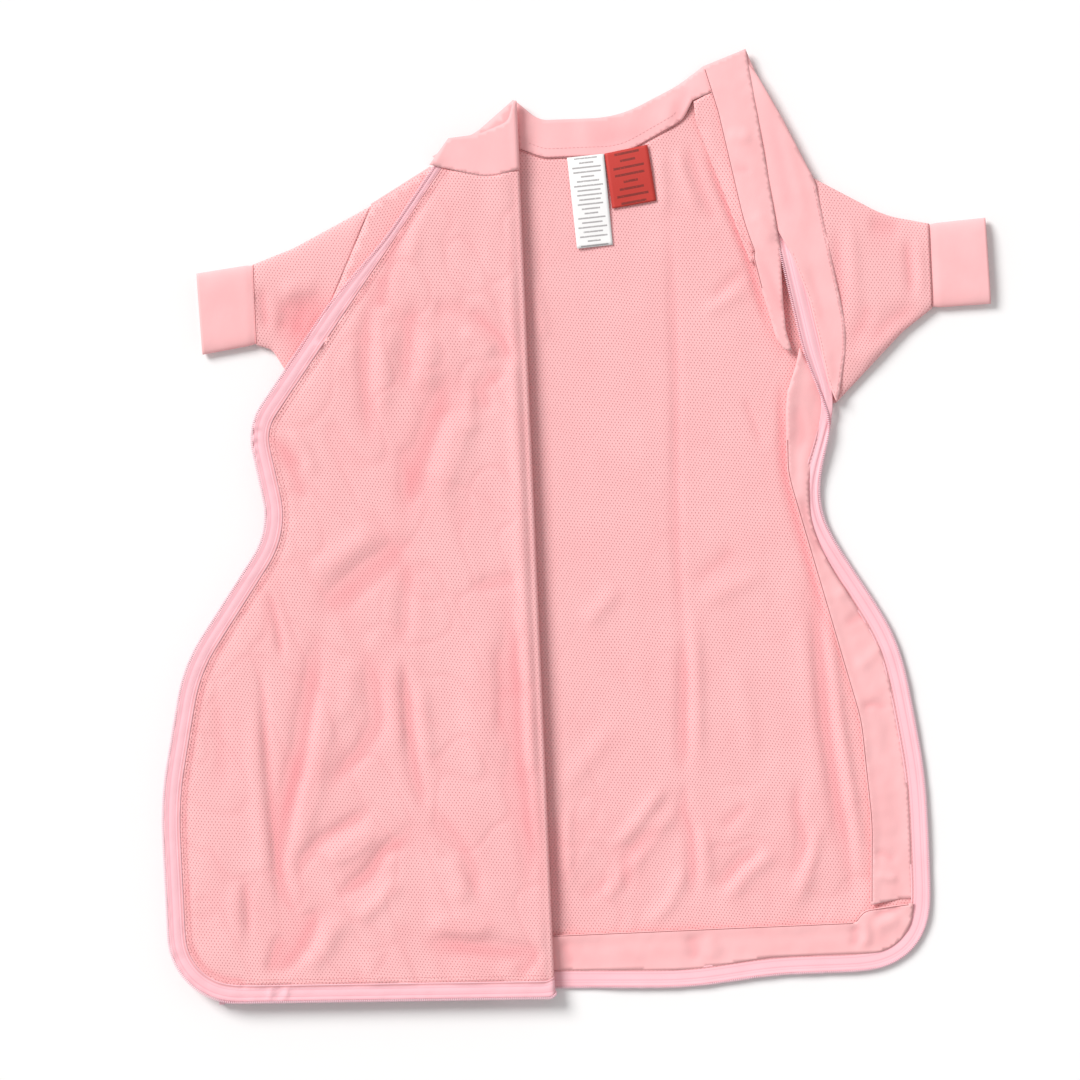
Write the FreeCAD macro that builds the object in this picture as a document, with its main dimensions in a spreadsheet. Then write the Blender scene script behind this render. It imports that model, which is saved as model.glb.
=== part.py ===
"""Baby sleeping bag with short sleeves, laid open on a flat surface.

The back of the bag lies on the surface with its inside up. A zip runs from the neck down the right
raglan line, the right side and the hem. It is open, and the right half of the front is folded back to
the left along the centre of the front, so that its inside faces up as well.

Frame: X to the right of the open bag, Y towards the neck, Z up from the surface. The origin is the
bottom centre of the bounding box. All sizes are in millimetres.
"""
import FreeCAD, Part
import math
import os
import re

import Sketcher

Vector = FreeCAD.Vector

# Driving dimensions: alias, value, meaning.
SIZES = [
    # cloth and trim
    ("cloth", 1.6, "thickness of the shell cloth"),
    ("band_cloth", 2.0, "thickness of the doubled neckband and cuff cloth"),
    ("guard_cloth", 1.2, "thickness of the zip guard"),
    ("label_cloth", 0.4, "thickness of a woven label"),
    ("tape_thick", 0.6, "thickness of the zip tape"),
    ("tape_show", 12.0, "width of the zip tape outside its seam"),
    ("tape_under", 6.0, "width of the zip tape sewn to the cloth"),
    ("teeth_wide", 2.0, "width of one row of zip coil"),
    ("teeth_high", 2.0, "height of one row of zip coil"),
    ("seam_wide", 4.0, "width of a seam allowance"),
    # heights above the surface
    ("front_level", 8.0, "underside of the front cloth"),
    ("flap_level", 12.8, "underside of the folded front cloth"),
    ("guard_level", 2.4, "underside of the zip guard on the back"),
    ("fold_gap", 0.5, "distance of the cut cloth from the fold line"),
    # lengthwise stations
    ("hem_y", -345.0, "hem seam where the zip is closed"),
    ("low_y", -200.0, "where the side becomes straight"),
    ("hip_y", -100.0, "widest turn of the hip"),
    ("waist_y", 5.0, "waist"),
    ("underarm_y", 88.0, "right underarm"),
    ("neck_y", 288.0, "lowest point of the back neck seam"),
    ("peak_y", 334.0, "fold of the neckband at the left of the neck"),
    ("top_y", 366.0, "upper end of the zip"),
    # widths, from the centre of the frame
    ("fold_x", -33.0, "fold line of the front"),
    ("left_low_x", -317.0, "left side seam at the hem"),
    ("left_hip_x", -296.0, "left side seam at the hip"),
    ("left_waist_x", -222.5, "left side seam at the waist"),
    ("left_underarm_x", -212.0, "left underarm"),
    ("right_low_x", 252.0, "right side seam at the hem"),
    ("right_hip_x", 237.0, "right side seam at the hip"),
    ("right_waist_x", 172.0, "right side seam at the waist"),
    ("right_underarm_x", 194.0, "right underarm"),
    # roundings
    ("waist_round", 72.0, "radius of the waist"),
    ("hip_round", 120.0, "radius of the hip"),
    ("low_round", 260.0, "radius where the hip runs into the side"),
    ("hem_round", 36.0, "radius of the hem corners"),
    ("neck_round", 60.0, "radius of the neck seam"),
    # sleeves and cuffs
    ("cuff_left_x", -242.0, "left cuff seam"),
    ("cuff_right_x", 286.5, "right cuff seam"),
    ("cuff_long", 43.5, "length of a cuff"),
    ("seam_gap", 0.4, "gap between a sleeve or cuff and what it turns on"),
    # zip slider
    ("slider_x", -66.0, "middle of the slider at rest"),
    ("slider_long", 12.0, "length of the slider"),
    ("plate_thick", 1.2, "thickness of a slider plate"),
    ("slider_play", 0.3, "room between the slider and the coil"),
    ("post_thick", 1.6, "thickness of the slider's post"),
    ("pull_long", 24.0, "length of the pull tab"),
    ("pull_wide", 5.0, "width of the pull tab"),
    ("pull_thick", 1.0, "thickness of the pull tab"),
    ("pin_radius", 0.8, "radius of the pull tab's eye pin"),
    ("closed_end_x", -288.0, "left end of the zip"),
]

doc = FreeCAD.newDocument("sleeping_bag")
sheet = doc.addObject("Spreadsheet::Sheet", "sizes")
for row, (alias, number, meaning) in enumerate(SIZES, start=1):
    sheet.set(f"A{row}", meaning)
    sheet.set(f"B{row}", str(number))
    sheet.setAlias(f"B{row}", alias)
doc.recompute()

subparts = []


def bound(formula):
    """A formula of aliases and numbers, with each alias pointing at its cell."""
    return re.sub(r"[a-z]\w*", lambda found: f"sizes.{found.group()}", str(formula))


def value(formula):
    """What such a formula comes to, in millimetres."""
    return float(sheet.evalExpression(bound(formula)))


def origin_plane(body, role):
    return next(plane for plane in body.Origin.OriginFeatures if plane.Role == role)


def new_body(name, level="0"):
    """A body named after its piece, raised to its level above the surface."""
    body = doc.addObject("PartDesign::Body", name)
    body.Label = name
    body.setExpression("Placement.Base.z", bound(level))
    subparts.append(body)
    return body


def new_sketch(body, name, role="XY_Plane"):
    sketch = body.newObject("Sketcher::SketchObject", name)
    sketch.AttachmentSupport = [(origin_plane(body, role), "")]
    sketch.MapMode = "FlatFace"
    return sketch


def tie(sketch, kind, where, formula):
    """Add a dimension whose size is bound to the sheet."""
    index = sketch.addConstraint(Sketcher.Constraint(kind, *where, value(formula)))
    sketch.setExpression(f"Constraints[{index}]", bound(formula))


def turn(before, corner, after, radius):
    """The arc of that radius which rounds a corner between two straight runs."""
    to_before = (before - corner).normalize()
    to_after = (after - corner).normalize()
    half = to_before.getAngle(to_after) / 2
    reach = radius / math.tan(half)
    inward = (to_before + to_after).normalize()
    middle = corner + inward * (radius / math.sin(half) - radius)
    return corner + to_before * reach, middle, corner + to_after * reach


def draw(sketch, corners, closed=True):
    """Straight runs joined by tangent arcs. A corner is (x, y) or (x, y, radius), each a formula."""
    points = [Vector(value(c[0]), value(c[1]), 0) for c in corners]
    rounded = [len(c) == 3 for c in corners]
    count = len(corners)
    arcs = {
        i: turn(points[i - 1], points[i], points[(i + 1) % count], value(corners[i][2]))
        for i in range(count)
        if rounded[i]
    }
    runs = []
    for i in range(count if closed else count - 1):
        j = (i + 1) % count
        start = arcs[i][2] if rounded[i] else points[i]
        end = arcs[j][0] if rounded[j] else points[j]
        runs.append(sketch.addGeometry(Part.LineSegment(start, end), False))
    for i in range(count):
        before, after = runs[i - 1], runs[i % len(runs)]
        if rounded[i]:
            arc = sketch.addGeometry(Part.Arc(*arcs[i]), False)
            turns_left = (points[i] - points[i - 1]).cross(points[(i + 1) % count] - points[i]).z > 0
            first, last = (1, 2) if turns_left else (2, 1)
            sketch.addConstraint(Sketcher.Constraint("Tangent", before, 2, arc, first))
            sketch.addConstraint(Sketcher.Constraint("Tangent", arc, last, after, 1))
            tie(sketch, "Radius", (arc,), corners[i][2])
            corner = sketch.addGeometry(Part.Point(points[i]), True)
            sketch.addConstraint(Sketcher.Constraint("PointOnObject", corner, 1, before))
            sketch.addConstraint(Sketcher.Constraint("PointOnObject", corner, 1, after))
            place = (-1, 1, corner, 1)
        elif closed or 0 < i < count - 1:
            sketch.addConstraint(Sketcher.Constraint("Coincident", before, 2, after, 1))
            place = (-1, 1, after, 1)
        else:
            place = (-1, 1, runs[0], 1) if i == 0 else (-1, 1, runs[-1], 2)
        tie(sketch, "DistanceX", place, corners[i][0])
        tie(sketch, "DistanceY", place, corners[i][1])


def add_pad(body, name, corners, thick, lift=None):
    sketch = new_sketch(body, f"{name}_outline")
    if lift is not None:
        sketch.setExpression("AttachmentOffset.Base.z", bound(lift))
    draw(sketch, corners)
    pad = body.newObject("PartDesign::Pad", f"{name}_pad")
    pad.Profile = sketch
    pad.setExpression("Length", bound(thick))
    doc.recompute()
    return pad


def flat_piece(name, corners, thick, level):
    """A flat piece of cloth cut to an outline."""
    body = new_body(name, level)
    add_pad(body, name, corners, thick)
    return body


def strip_along(name, path, inner, outer, thick, level):
    """A strip that follows a path. inner and outer are its edges, from the path out to its left."""
    body = new_body(name, level)
    spine = new_sketch(body, f"{name}_path")
    draw(spine, path, closed=False)
    start = Vector(value(path[0][0]), value(path[0][1]), 0)
    ahead = Vector(value(path[1][0]), value(path[1][1]), 0) - start
    bearing = math.degrees(math.atan2(ahead.y, ahead.x))
    section = new_sketch(body, f"{name}_section", "XZ_Plane")
    section.AttachmentOffset = FreeCAD.Placement(
        Vector(start.x, 0, -start.y), FreeCAD.Rotation(Vector(0, 1, 0), bearing + 90)
    )
    draw(section, [(inner, "0"), (outer, "0"), (outer, thick), (inner, thick)])
    pipe = body.newObject("PartDesign::AdditivePipe", f"{name}_pipe")
    pipe.Profile = section
    pipe.Spine = spine
    doc.recompute()
    return body


def sleeve_tube(name, corners, inside, wall, high):
    """A flat-lying tube of cloth, open at both ends: its outline, less the room inside it."""
    body = new_body(name)
    add_pad(body, name, corners, high)
    sketch = new_sketch(body, f"{name}_room")
    sketch.setExpression("AttachmentOffset.Base.z", bound(wall))
    draw(sketch, inside)
    room = body.newObject("PartDesign::Pocket", f"{name}_pocket")
    room.Profile = sketch
    room.Reversed = True
    room.setExpression("Length", bound(f"{high} - 2 * {wall}"))
    doc.recompute()
    return body


# ---- Seam lines, each from the neck towards the hem --------------------------------------------

LEFT_SIDE = [
    ("left_underarm_x", "118"),
    ("left_waist_x", "waist_y", "waist_round"),
    ("left_hip_x", "hip_y", "hip_round"),
    ("left_low_x", "low_y", "low_round"),
    ("left_low_x", "hem_y", "hem_round"),
]
RIGHT_SIDE = [
    ("right_underarm_x", "underarm_y - 2"),
    ("right_waist_x", "waist_y", "waist_round"),
    ("right_hip_x", "hip_y - 3", "hip_round"),
    ("right_low_x", "low_y - 6", "low_round"),
    ("right_low_x", "hem_y + 2", "hem_round"),
]
HEM = [
    ("140", "hem_y + 3", "200"),
    ("75", "hem_y - 4.5", "200"),
    ("fold_x", "hem_y", "200"),
]
FLAP_SIDE = [
    ("-92", "283"),
    ("-237", "86", "34"),
    ("left_waist_x", "waist_y", "waist_round"),
    ("left_hip_x", "hip_y", "hip_round"),
    ("left_low_x", "low_y", "low_round"),
    ("left_low_x + 1", "hem_y + 1", "hem_round + 5"),
]
NECK_LEFT = [("-55", "274", "40")]
RIGHT_SHOULDER = [("157", "345"), ("197", "264")]
RIGHT_ARMHOLE = [("218", "140", "110"), ("208", "underarm_y")]
LEFT_ARMHOLE = [("left_underarm_x", "118"), ("-147", "257")]
LEFT_SHOULDER = [("-100", "284"), ("-46", "311")]
BACK_NECK = [
    ("-31", "296"),
    ("-12", "neck_y", "30"),
    ("50", "neck_y", "neck_round"),
    ("97", "312", "20"),
    ("106", "328"),
    ("122", "334"),
]
BELOW_FOLD = ("fold_x - fold_gap", "hem_y")


def make_back():
    flat_piece(
        "back_panel",
        BACK_NECK
        + RIGHT_SHOULDER
        + RIGHT_ARMHOLE
        + RIGHT_SIDE
        + HEM
        + LEFT_SIDE[:0:-1]
        + LEFT_ARMHOLE
        + LEFT_SHOULDER,
        "cloth",
        "0",
    )


def make_front():
    neck = [("fold_x - fold_gap", "279"), *NECK_LEFT, ("-92", "288")]
    flat_piece(
        "front_panel_left",
        [BELOW_FOLD, *neck]
        + LEFT_SHOULDER[:1]
        + LEFT_ARMHOLE[::-1]
        + LEFT_SIDE[1:],
        "cloth",
        "front_level",
    )
    flat_piece(
        "front_panel_flap",
        [("fold_x - fold_gap", "hem_y - 7"), neck[0], *NECK_LEFT, *FLAP_SIDE],
        "cloth",
        "flap_level",
    )


def make_neckband():
    flat_piece(
        "neckband_back",
        [
            *BACK_NECK[::-1],
            ("fold_x + 1", "peak_y"),
            ("-14", "318", "20"),
            ("47", "317.5", "90"),
            ("95", "340", "100"),
            ("115.5", "354"),
            ("149", "top_y"),
            *RIGHT_SHOULDER[:1],
        ],
        "band_cloth",
        "0",
    )
    flat_piece(
        "neckband_left",
        [
            ("fold_x - fold_gap", "279"),
            ("fold_x - fold_gap", "peak_y"),
            ("-62", "311", "30"),
            ("-98", "293"),
            ("-92", "288"),
            *NECK_LEFT,
        ],
        "band_cloth",
        "front_level",
    )
    flat_piece(
        "neckband_flap",
        [
            ("fold_x - fold_gap", "279"),
            ("fold_x - fold_gap", "peak_y - 2"),
            ("-38", "317", "10"),
            ("-62", "308", "40"),
            ("-85", "306"),
            ("-92", "283"),
            *NECK_LEFT,
        ],
        "band_cloth",
        "flap_level + cloth - band_cloth",
    )


def make_yoke():
    """The front shoulder piece on the right, between the zip and the armhole."""
    flat_piece(
        "yoke_right",
        [
            ("151", "362"),
            *RIGHT_SHOULDER,
            *RIGHT_ARMHOLE,
            ("198", "122", "150"),
            ("178", "228", "200"),
            ("171", "287", "200"),
        ],
        "cloth",
        "front_level",
    )


def make_yoke_lining():
    """The knit layer on the wearer's side of the yoke. It shows as a strip beside the zip guard."""
    flat_piece(
        "yoke_lining",
        [
            ("108", "310"),
            ("107", "327"),
            ("122", "334"),
            ("134", "300"),
            ("150", "200"),
            ("146", "200"),
            ("127", "256", "200"),
        ],
        "cloth",
        "front_level - 1.5 * cloth",
    )


def make_seams():
    """Seam allowances that join the front to the back, inside the bag."""
    side = LEFT_SIDE[:-1] + [("left_low_x", "hem_y + hem_round + 4")]
    room = "front_level - cloth"
    strip_along("side_seam_left", side, "0", "seam_wide", room, "cloth")
    strip_along("shoulder_seam_left", [("-147", "257"), ("-100", "284")], "-seam_wide", "0", room, "cloth")
    strip_along("shoulder_seam_right", [("173", "312.6"), ("196", "266")], "-seam_wide", "0", room, "cloth")


def make_guards():
    """The zip guard: a smooth facing sewn along the zip, free at its inner edge."""
    flat_piece(
        "zip_guard_neck",
        [
            ("115.5", "353.5"),
            ("149", "top_y"),
            ("160", "285", "200"),
            ("170", "205", "200"),
            ("192", "126"),
            ("177", "128"),
            ("142", "228", "200"),
            ("125", "318", "100"),
        ],
        "guard_cloth",
        "front_level + 0.2",
    )
    flat_piece(
        "zip_guard_side",
        [
            ("181", "116", "7"),
            ("168", "92", "20"),
            ("166", "40", "60"),
            ("216", "-160", "120"),
            ("221", "-240", "200"),
            ("218", "-304"),
            ("244", "-300"),
            *[("right_low_x - 1", "low_y - 6", "low_round"), ("right_hip_x - 1", "hip_y - 3", "hip_round")],
            ("right_waist_x + 10", "waist_y", "waist_round"),
            ("190", "80"),
            ("193", "112", "7"),
        ],
        "guard_cloth",
        "guard_level",
    )
    flat_piece(
        "zip_guard_hem",
        [
            ("closed_end_x", "hem_y + 28"),
            ("closed_end_x", "hem_y + 1"),
            ("fold_x", "hem_y + 1", "200"),
            ("75", "hem_y - 3.5", "200"),
            ("140", "hem_y + 4", "200"),
            ("right_low_x - 2", "hem_y + 4", "30"),
            ("right_low_x - 2", "-304"),
            ("212", "-308", "10"),
            ("205", "hem_y + 28"),
        ],
        "guard_cloth",
        "guard_level",
    )


ZIP_RIGHT = RIGHT_SIDE[:] + HEM + [("closed_end_x", "hem_y")]
ZIP_YOKE = [("161", "325"), ("171", "287", "150"), ("178", "228", "150"), ("198", "122", "150"), ("206", "93")]
ZIP_FLAP = [("-88", "288.5"), *FLAP_SIDE[1:], ("fold_x - fold_gap", "hem_y - 7")]
ZIP_CLOSED = [("fold_x - 1", "hem_y"), ("closed_end_x", "hem_y")]


def make_zip():
    """Tape and coil. Each tape is sewn to its cloth, and carries one row of the nylon coil on its free edge."""
    tape = ("tape_thick", "cloth")
    coil = ("teeth_high", "cloth")
    strip_along("zip_tape_back", ZIP_RIGHT, "-tape_under", "tape_show", *tape)
    strip_along("zip_teeth_back", ZIP_RIGHT, "tape_show", "tape_show + teeth_wide", *coil)
    tape = ("tape_thick", "front_level - tape_thick")
    coil = ("teeth_high", "front_level - teeth_high")
    strip_along("zip_tape_front", ZIP_CLOSED, "-tape_under", "tape_show", *tape)
    strip_along("zip_teeth_front", ZIP_CLOSED, "tape_show", "tape_show + teeth_wide", *coil)
    strip_along("zip_tape_yoke", ZIP_YOKE, "-tape_show", "tape_under / 2", *tape)
    strip_along("zip_teeth_yoke", ZIP_YOKE, "-tape_show - teeth_wide", "-tape_show", *coil)
    tape = ("tape_thick", "flap_level + cloth")
    coil = ("teeth_high", "flap_level + cloth")
    strip_along("zip_tape_flap", ZIP_FLAP, "-tape_show", "tape_under", *tape)
    strip_along("zip_teeth_flap", ZIP_FLAP, "-tape_show - teeth_wide", "-tape_show", *coil)


def make_sleeves():
    """Short sleeves and their cuffs, lying flat as tubes."""
    sleeve = "front_level + cloth"
    left = "cuff_left_x + seam_gap"
    right = "cuff_right_x - seam_gap"
    sleeve_tube(
        "sleeve_left",
        [("-147", "257"), ("-210", "226", "60"), (left, "215"), (left, "152.5"), ("-229", "148", "10")]
        + LEFT_ARMHOLE[:1],
        [("-140", "252"), ("-207", "221", "60"), ("-250", "211.5"), ("-250", "158"), ("-227", "151", "10")]
        + [("left_underarm_x + 3", "123"), ("-150", "215")],
        "cloth",
        sleeve,
    )
    sleeve_tube(
        "sleeve_right",
        [("197", "264"), ("252", "232", "80"), (right, "224.3"), (right, "158.6"), ("262", "141", "40")]
        + RIGHT_ARMHOLE[::-1],
        [("190", "265"), ("251", "230", "80"), ("295", "220"), ("295", "164"), ("260", "143.5", "40")]
        + [("207", "90"), ("190", "140")],
        "cloth",
        sleeve,
    )
    cuff = "front_level + band_cloth"
    out = "cuff_left_x - cuff_long"
    edge = "cuff_left_x - seam_gap"
    sleeve_tube(
        "cuff_left",
        [(edge, "215"), (out, "210"), (out + " + 2", "146.6"), (edge, "152.5")],
        [("cuff_left_x + 5", "213.5"), (out + " - 5", "207.5"), (out + " - 3", "148"), ("cuff_left_x + 5", "155.5")],
        "band_cloth",
        cuff,
    )
    out = "cuff_right_x + cuff_long"
    edge = "cuff_right_x + seam_gap"
    sleeve_tube(
        "cuff_right",
        [(edge, "224.3"), (out, "227"), (out + " + 1.5", "159.8"), (edge, "158.6")],
        [("cuff_right_x - 5", "222"), (out + " + 5", "225.3"), (out + " + 5", "162"), ("cuff_right_x - 5", "160.4")],
        "band_cloth",
        cuff,
    )


def make_labels():
    """Care label and size label, sewn in under the back of the neckband."""
    level = "band_cloth + 0.3"
    care = [("6.7", "287.8"), ("35.4", "289.7"), ("39.4", "218.5"), ("11.4", "216.6")]
    flat_piece("care_label", care, "label_cloth", level)
    size = [("36", "289.7"), ("69.7", "295.3"), ("74.8", "251.4"), ("40.2", "246.6")]
    flat_piece("size_label", size, "label_cloth", level)


def box(name, x, y, z, long, wide, high):
    """A rectangular block, for the clips that end the zip."""
    block = new_body(name, z)
    add_pad(
        block,
        name,
        [(x, y), (f"{x} + {long}", y), (f"{x} + {long}", f"{y} + {wide}"), (x, f"{y} + {wide}")],
        high,
    )
    return block


def make_stops():
    wide = "teeth_wide + 1.5"
    high = "teeth_high + 0.4"
    both = "front_level - cloth + 0.8"
    box("zip_stop_bottom", "closed_end_x - 4", "hem_y - tape_show - teeth_wide - 0.5", "cloth - 0.4", "4", wide, both)
    box("zip_stop_yoke", "146.7", "322.3", "front_level - teeth_high - 0.4", wide, "4", high)
    box("zip_stop_flap", "-100.5", "297.1", "flap_level + cloth", wide, "4", high)


def make_slider():
    """Zip slider on the closed stretch of the hem. Its outer plate stands outside the two coils."""
    body = new_body("zip_slider")
    sketch = new_sketch(body, "zip_slider_section", "YZ_Plane")
    sketch.setExpression("AttachmentOffset.Base.z", bound("slider_x - slider_long / 2"))
    out = "hem_y - tape_show - teeth_wide - slider_play"
    back = "hem_y - tape_show + slider_play"
    low = "cloth - slider_play"
    high = "front_level + slider_play"
    middle = "cloth / 2 + front_level / 2"
    draw(
        sketch,
        [
            (f"{out} - plate_thick", f"{low} - 0.8"),
            (back, f"{low} - 0.8"),
            (back, low),
            (out, low),
            (out, f"{middle} - post_thick / 2"),
            (back, f"{middle} - post_thick / 2"),
            (back, "cloth + tape_thick + slider_play"),
            (f"{back} + plate_thick", "cloth + tape_thick + slider_play"),
            (f"{back} + plate_thick", "front_level - tape_thick - slider_play"),
            (back, "front_level - tape_thick - slider_play"),
            (back, f"{middle} + post_thick / 2"),
            (out, f"{middle} + post_thick / 2"),
            (out, high),
            (back, high),
            (back, f"{high} + 0.8"),
            (f"{out} - plate_thick", f"{high} + 0.8"),
        ],
    )
    pad = body.newObject("PartDesign::Pad", "zip_slider_pad")
    pad.Profile = sketch
    pad.setExpression("Length", bound("slider_long"))
    doc.recompute()


def make_pull():
    """Bridge with its pin on the slider's outer plate, and the pull tab that swings on the pin."""
    face = value("hem_y - tape_show - teeth_wide - slider_play - plate_thick")
    middle = value("cloth / 2 + front_level / 2")
    x, pin = value("slider_x"), value("pin_radius")
    wide, thick, long = value("pull_wide"), value("pull_thick"), value("pull_long")
    eye = pin + 0.3
    knuckle = eye + 0.6
    axis_y = face - knuckle - 0.4
    lug = wide / 2 + 0.3

    lugs = [
        Part.makeBox(2 * pin + 1.2, face - axis_y, 0.9, Vector(x - pin - 0.6, axis_y, z))
        for z in (middle - lug - 0.9, middle + lug)
    ]
    round_pin = Part.makeCylinder(pin, 2 * lug + 1.8, Vector(x, axis_y, middle - lug - 0.9))
    add_solid("zip_bridge", round_pin.fuse(lugs).removeSplitter())

    tab = Part.makeBox(long, thick, wide, Vector(x + 1, axis_y - thick / 2, middle - wide / 2))
    barrel = Part.makeCylinder(knuckle, wide, Vector(x, axis_y, middle - wide / 2))
    hole = Part.makeCylinder(eye, wide, Vector(x, axis_y, middle - wide / 2))
    slot = Part.makeCylinder(wide / 4, thick, Vector(x + long - 2, axis_y - thick / 2, middle), Vector(0, 1, 0))
    add_solid("zip_pull", tab.fuse(barrel).cut(hole).cut(slot).removeSplitter())


def add_solid(name, shape):
    piece = doc.addObject("Part::Feature", name)
    piece.Label = name
    piece.Shape = shape
    subparts.append(piece)


make_back()
make_front()
make_neckband()
make_yoke()
make_yoke_lining()
make_seams()
make_guards()
make_zip()
make_sleeves()
make_labels()
make_stops()
make_slider()
make_pull()

doc.recompute()
os.makedirs("parts", exist_ok=True)
for item in doc.Objects:
    if any(word in item.State for word in ("Invalid", "Error")):
        raise SystemExit(f"{item.Label} failed: {item.State}")
for body in subparts:
    shape = body.Shape
    if shape.isNull() or not shape.isValid() or len(shape.Solids) != 1:
        raise SystemExit(f"{body.Label} is not one valid solid")
for body in subparts:
    box = body.Shape.BoundBox
    print(f"{body.Label:22s} x {box.XMin:7.1f} {box.XMax:7.1f}  y {box.YMin:7.1f} {box.YMax:7.1f}  "
          f"z {box.ZMin:5.1f} {box.ZMax:5.1f}  volume {body.Shape.Volume:9.0f}")
    body.Shape.exportStep(f"parts/{body.Label}.step")
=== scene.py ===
import math

import bpy
import numpy as np
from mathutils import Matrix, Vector
from mathutils.geometry import delaunay_2d_cdt


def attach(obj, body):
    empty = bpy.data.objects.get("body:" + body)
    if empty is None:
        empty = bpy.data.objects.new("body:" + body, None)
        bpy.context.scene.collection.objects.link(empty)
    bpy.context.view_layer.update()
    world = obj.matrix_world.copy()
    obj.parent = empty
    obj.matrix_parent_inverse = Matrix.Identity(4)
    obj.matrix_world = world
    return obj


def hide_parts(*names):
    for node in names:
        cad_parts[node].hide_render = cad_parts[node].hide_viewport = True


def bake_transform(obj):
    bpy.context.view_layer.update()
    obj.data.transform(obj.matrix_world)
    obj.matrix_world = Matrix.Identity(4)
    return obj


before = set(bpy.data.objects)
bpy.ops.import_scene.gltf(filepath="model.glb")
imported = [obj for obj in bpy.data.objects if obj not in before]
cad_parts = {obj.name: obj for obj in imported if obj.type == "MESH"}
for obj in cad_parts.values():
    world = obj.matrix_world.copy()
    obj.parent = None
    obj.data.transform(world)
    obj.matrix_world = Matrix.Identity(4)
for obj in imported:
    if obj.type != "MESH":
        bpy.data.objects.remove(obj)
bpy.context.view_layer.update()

scene = bpy.context.scene


# ---- Floor, light and camera --------------------------------------------------------------------
# A white floor under a large soft lamp from the upper left, with even light all round.
# The camera looks straight down on the open bag.

floor_mesh = bpy.data.meshes.new("floor")
floor_mesh.from_pydata([(-6, -6, 0), (6, -6, 0), (6, 6, 0), (-6, 6, 0)], [], [(0, 1, 2, 3)])
floor = bpy.data.objects.new("floor", floor_mesh)
scene.collection.objects.link(floor)
floor_paint = bpy.data.materials.new("floor_white")
floor_paint.use_nodes = True
floor_shader = floor_paint.node_tree.nodes["Principled BSDF"]
floor_shader.inputs["Base Color"].default_value = (0.93, 0.93, 0.935, 1)
floor_shader.inputs["Roughness"].default_value = 0.9
floor_mesh.materials.append(floor_paint)
floor.location.z = -0.0002

world = bpy.data.worlds.new("even_light")
scene.world = world
world.use_nodes = True
sky = world.node_tree.nodes["Background"]
sky.inputs["Color"].default_value = (1, 0.985, 0.98, 1)
sky.inputs["Strength"].default_value = 0.50


def far_lamp(name, place, soft, strength, colour):
    lamp = bpy.data.lights.new(name, "SUN")
    lamp.angle = math.radians(soft)
    lamp.energy = strength
    lamp.color = colour
    holder = bpy.data.objects.new(name, lamp)
    holder.location = place
    holder.rotation_euler = (-Vector(place)).to_track_quat("-Z", "Y").to_euler()
    scene.collection.objects.link(holder)


far_lamp("key_lamp", (-1.35, 1.25, 1.5), 27, 3.0, (1, 0.985, 0.97))
scene.view_settings.view_transform = "Standard"

view_wide = 0.8424
camera_high = 3.6
lens = bpy.data.cameras.new("camera")
lens.sensor_width = 36
lens.lens = 36 * camera_high / view_wide
lens.clip_end = 20
camera = bpy.data.objects.new("camera", lens)
camera.location = (-0.0272, -0.0089, camera_high)
camera.rotation_euler = (0, 0, math.radians(-2.47))
scene.collection.objects.link(camera)
scene.camera = camera


# ---- Back panel ---------------------------------------------------------------------------------
# One layer of soft cotton knit with rows of small eyelets. It lies on its outer side, and its
# long fold marks and loose creases come from the wearer's side showing up.


def rim(node):
    """The outline of a flat node, read from its top face, in metres."""
    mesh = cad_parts[node].data
    spots = np.array([v.co for v in mesh.vertices])
    top = spots[:, 2].max() - 2e-5
    ways = {}
    for face in mesh.polygons:
        corners = [v for v in face.vertices]
        if all(spots[v][2] > top for v in corners):
            keys = [tuple(np.round(spots[v][:2], 6)) for v in corners]
            for a, b in zip(keys, keys[1:] + keys[:1]):
                if a == b:
                    continue
                if ways.get(b) and a in ways[b]:
                    ways[b].remove(a)
                else:
                    ways.setdefault(a, []).append(b)
    start = next(a for a in ways if ways[a])
    loop = [start]
    while True:
        after = ways[loop[-1]].pop()
        if after == start:
            return np.array(loop)
        loop.append(after)


def even(line, count):
    """A line of points at even distances along another."""
    line = np.asarray(line, float)
    steps = np.r_[0, np.cumsum(np.linalg.norm(np.diff(line, axis=0), axis=1))]
    at = np.linspace(0, steps[-1], count)
    return np.stack([np.interp(at, steps, line[:, k]) for k in range(line.shape[1])], 1)


def inside(spots, loop):
    """Which spots lie inside a closed loop."""
    hit = np.zeros(len(spots), bool)
    for (ax, ay), (bx, by) in zip(loop, np.roll(loop, -1, 0)):
        if ay == by:
            continue
        crosses = (spots[:, 1] > min(ay, by)) & (spots[:, 1] <= max(ay, by))
        hit ^= crosses & (spots[:, 0] < ax + (spots[:, 1] - ay) * (bx - ax) / (by - ay))
    return hit


def reach(spots, line):
    """Distance to a line, signed positive to its left, and how far along it, from 0 to 1."""
    line = np.asarray(line, float)
    steps = np.r_[0, np.cumsum(np.linalg.norm(np.diff(line, axis=0), axis=1))]
    best = np.full(len(spots), 9.0)
    side, along = np.zeros(len(spots)), np.zeros(len(spots))
    for a, b, start in zip(line[:-1], line[1:], steps[:-1]):
        d = b - a
        t = np.clip(((spots - a) @ d) / (d @ d), 0, 1)
        off = spots - (a + t[:, None] * d)
        far = np.linalg.norm(off, axis=1)
        near = far < best
        best[near] = far[near]
        side[near] = np.sign(d[0] * off[near, 1] - d[1] * off[near, 0])
        along[near] = ((start + t * np.linalg.norm(d)) / steps[-1])[near]
    return best * np.where(side == 0, 1, side), along


def smooth(low, high, values):
    """An eased step from 0 at low to 1 at high."""
    t = np.clip((values - low) / (high - low), 0, 1)
    return t * t * (3 - 2 * t)


def bell(far, wide):
    """A soft hump: 1 at no distance, falling off over wide."""
    return np.exp(-((far / wide) ** 2))


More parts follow.
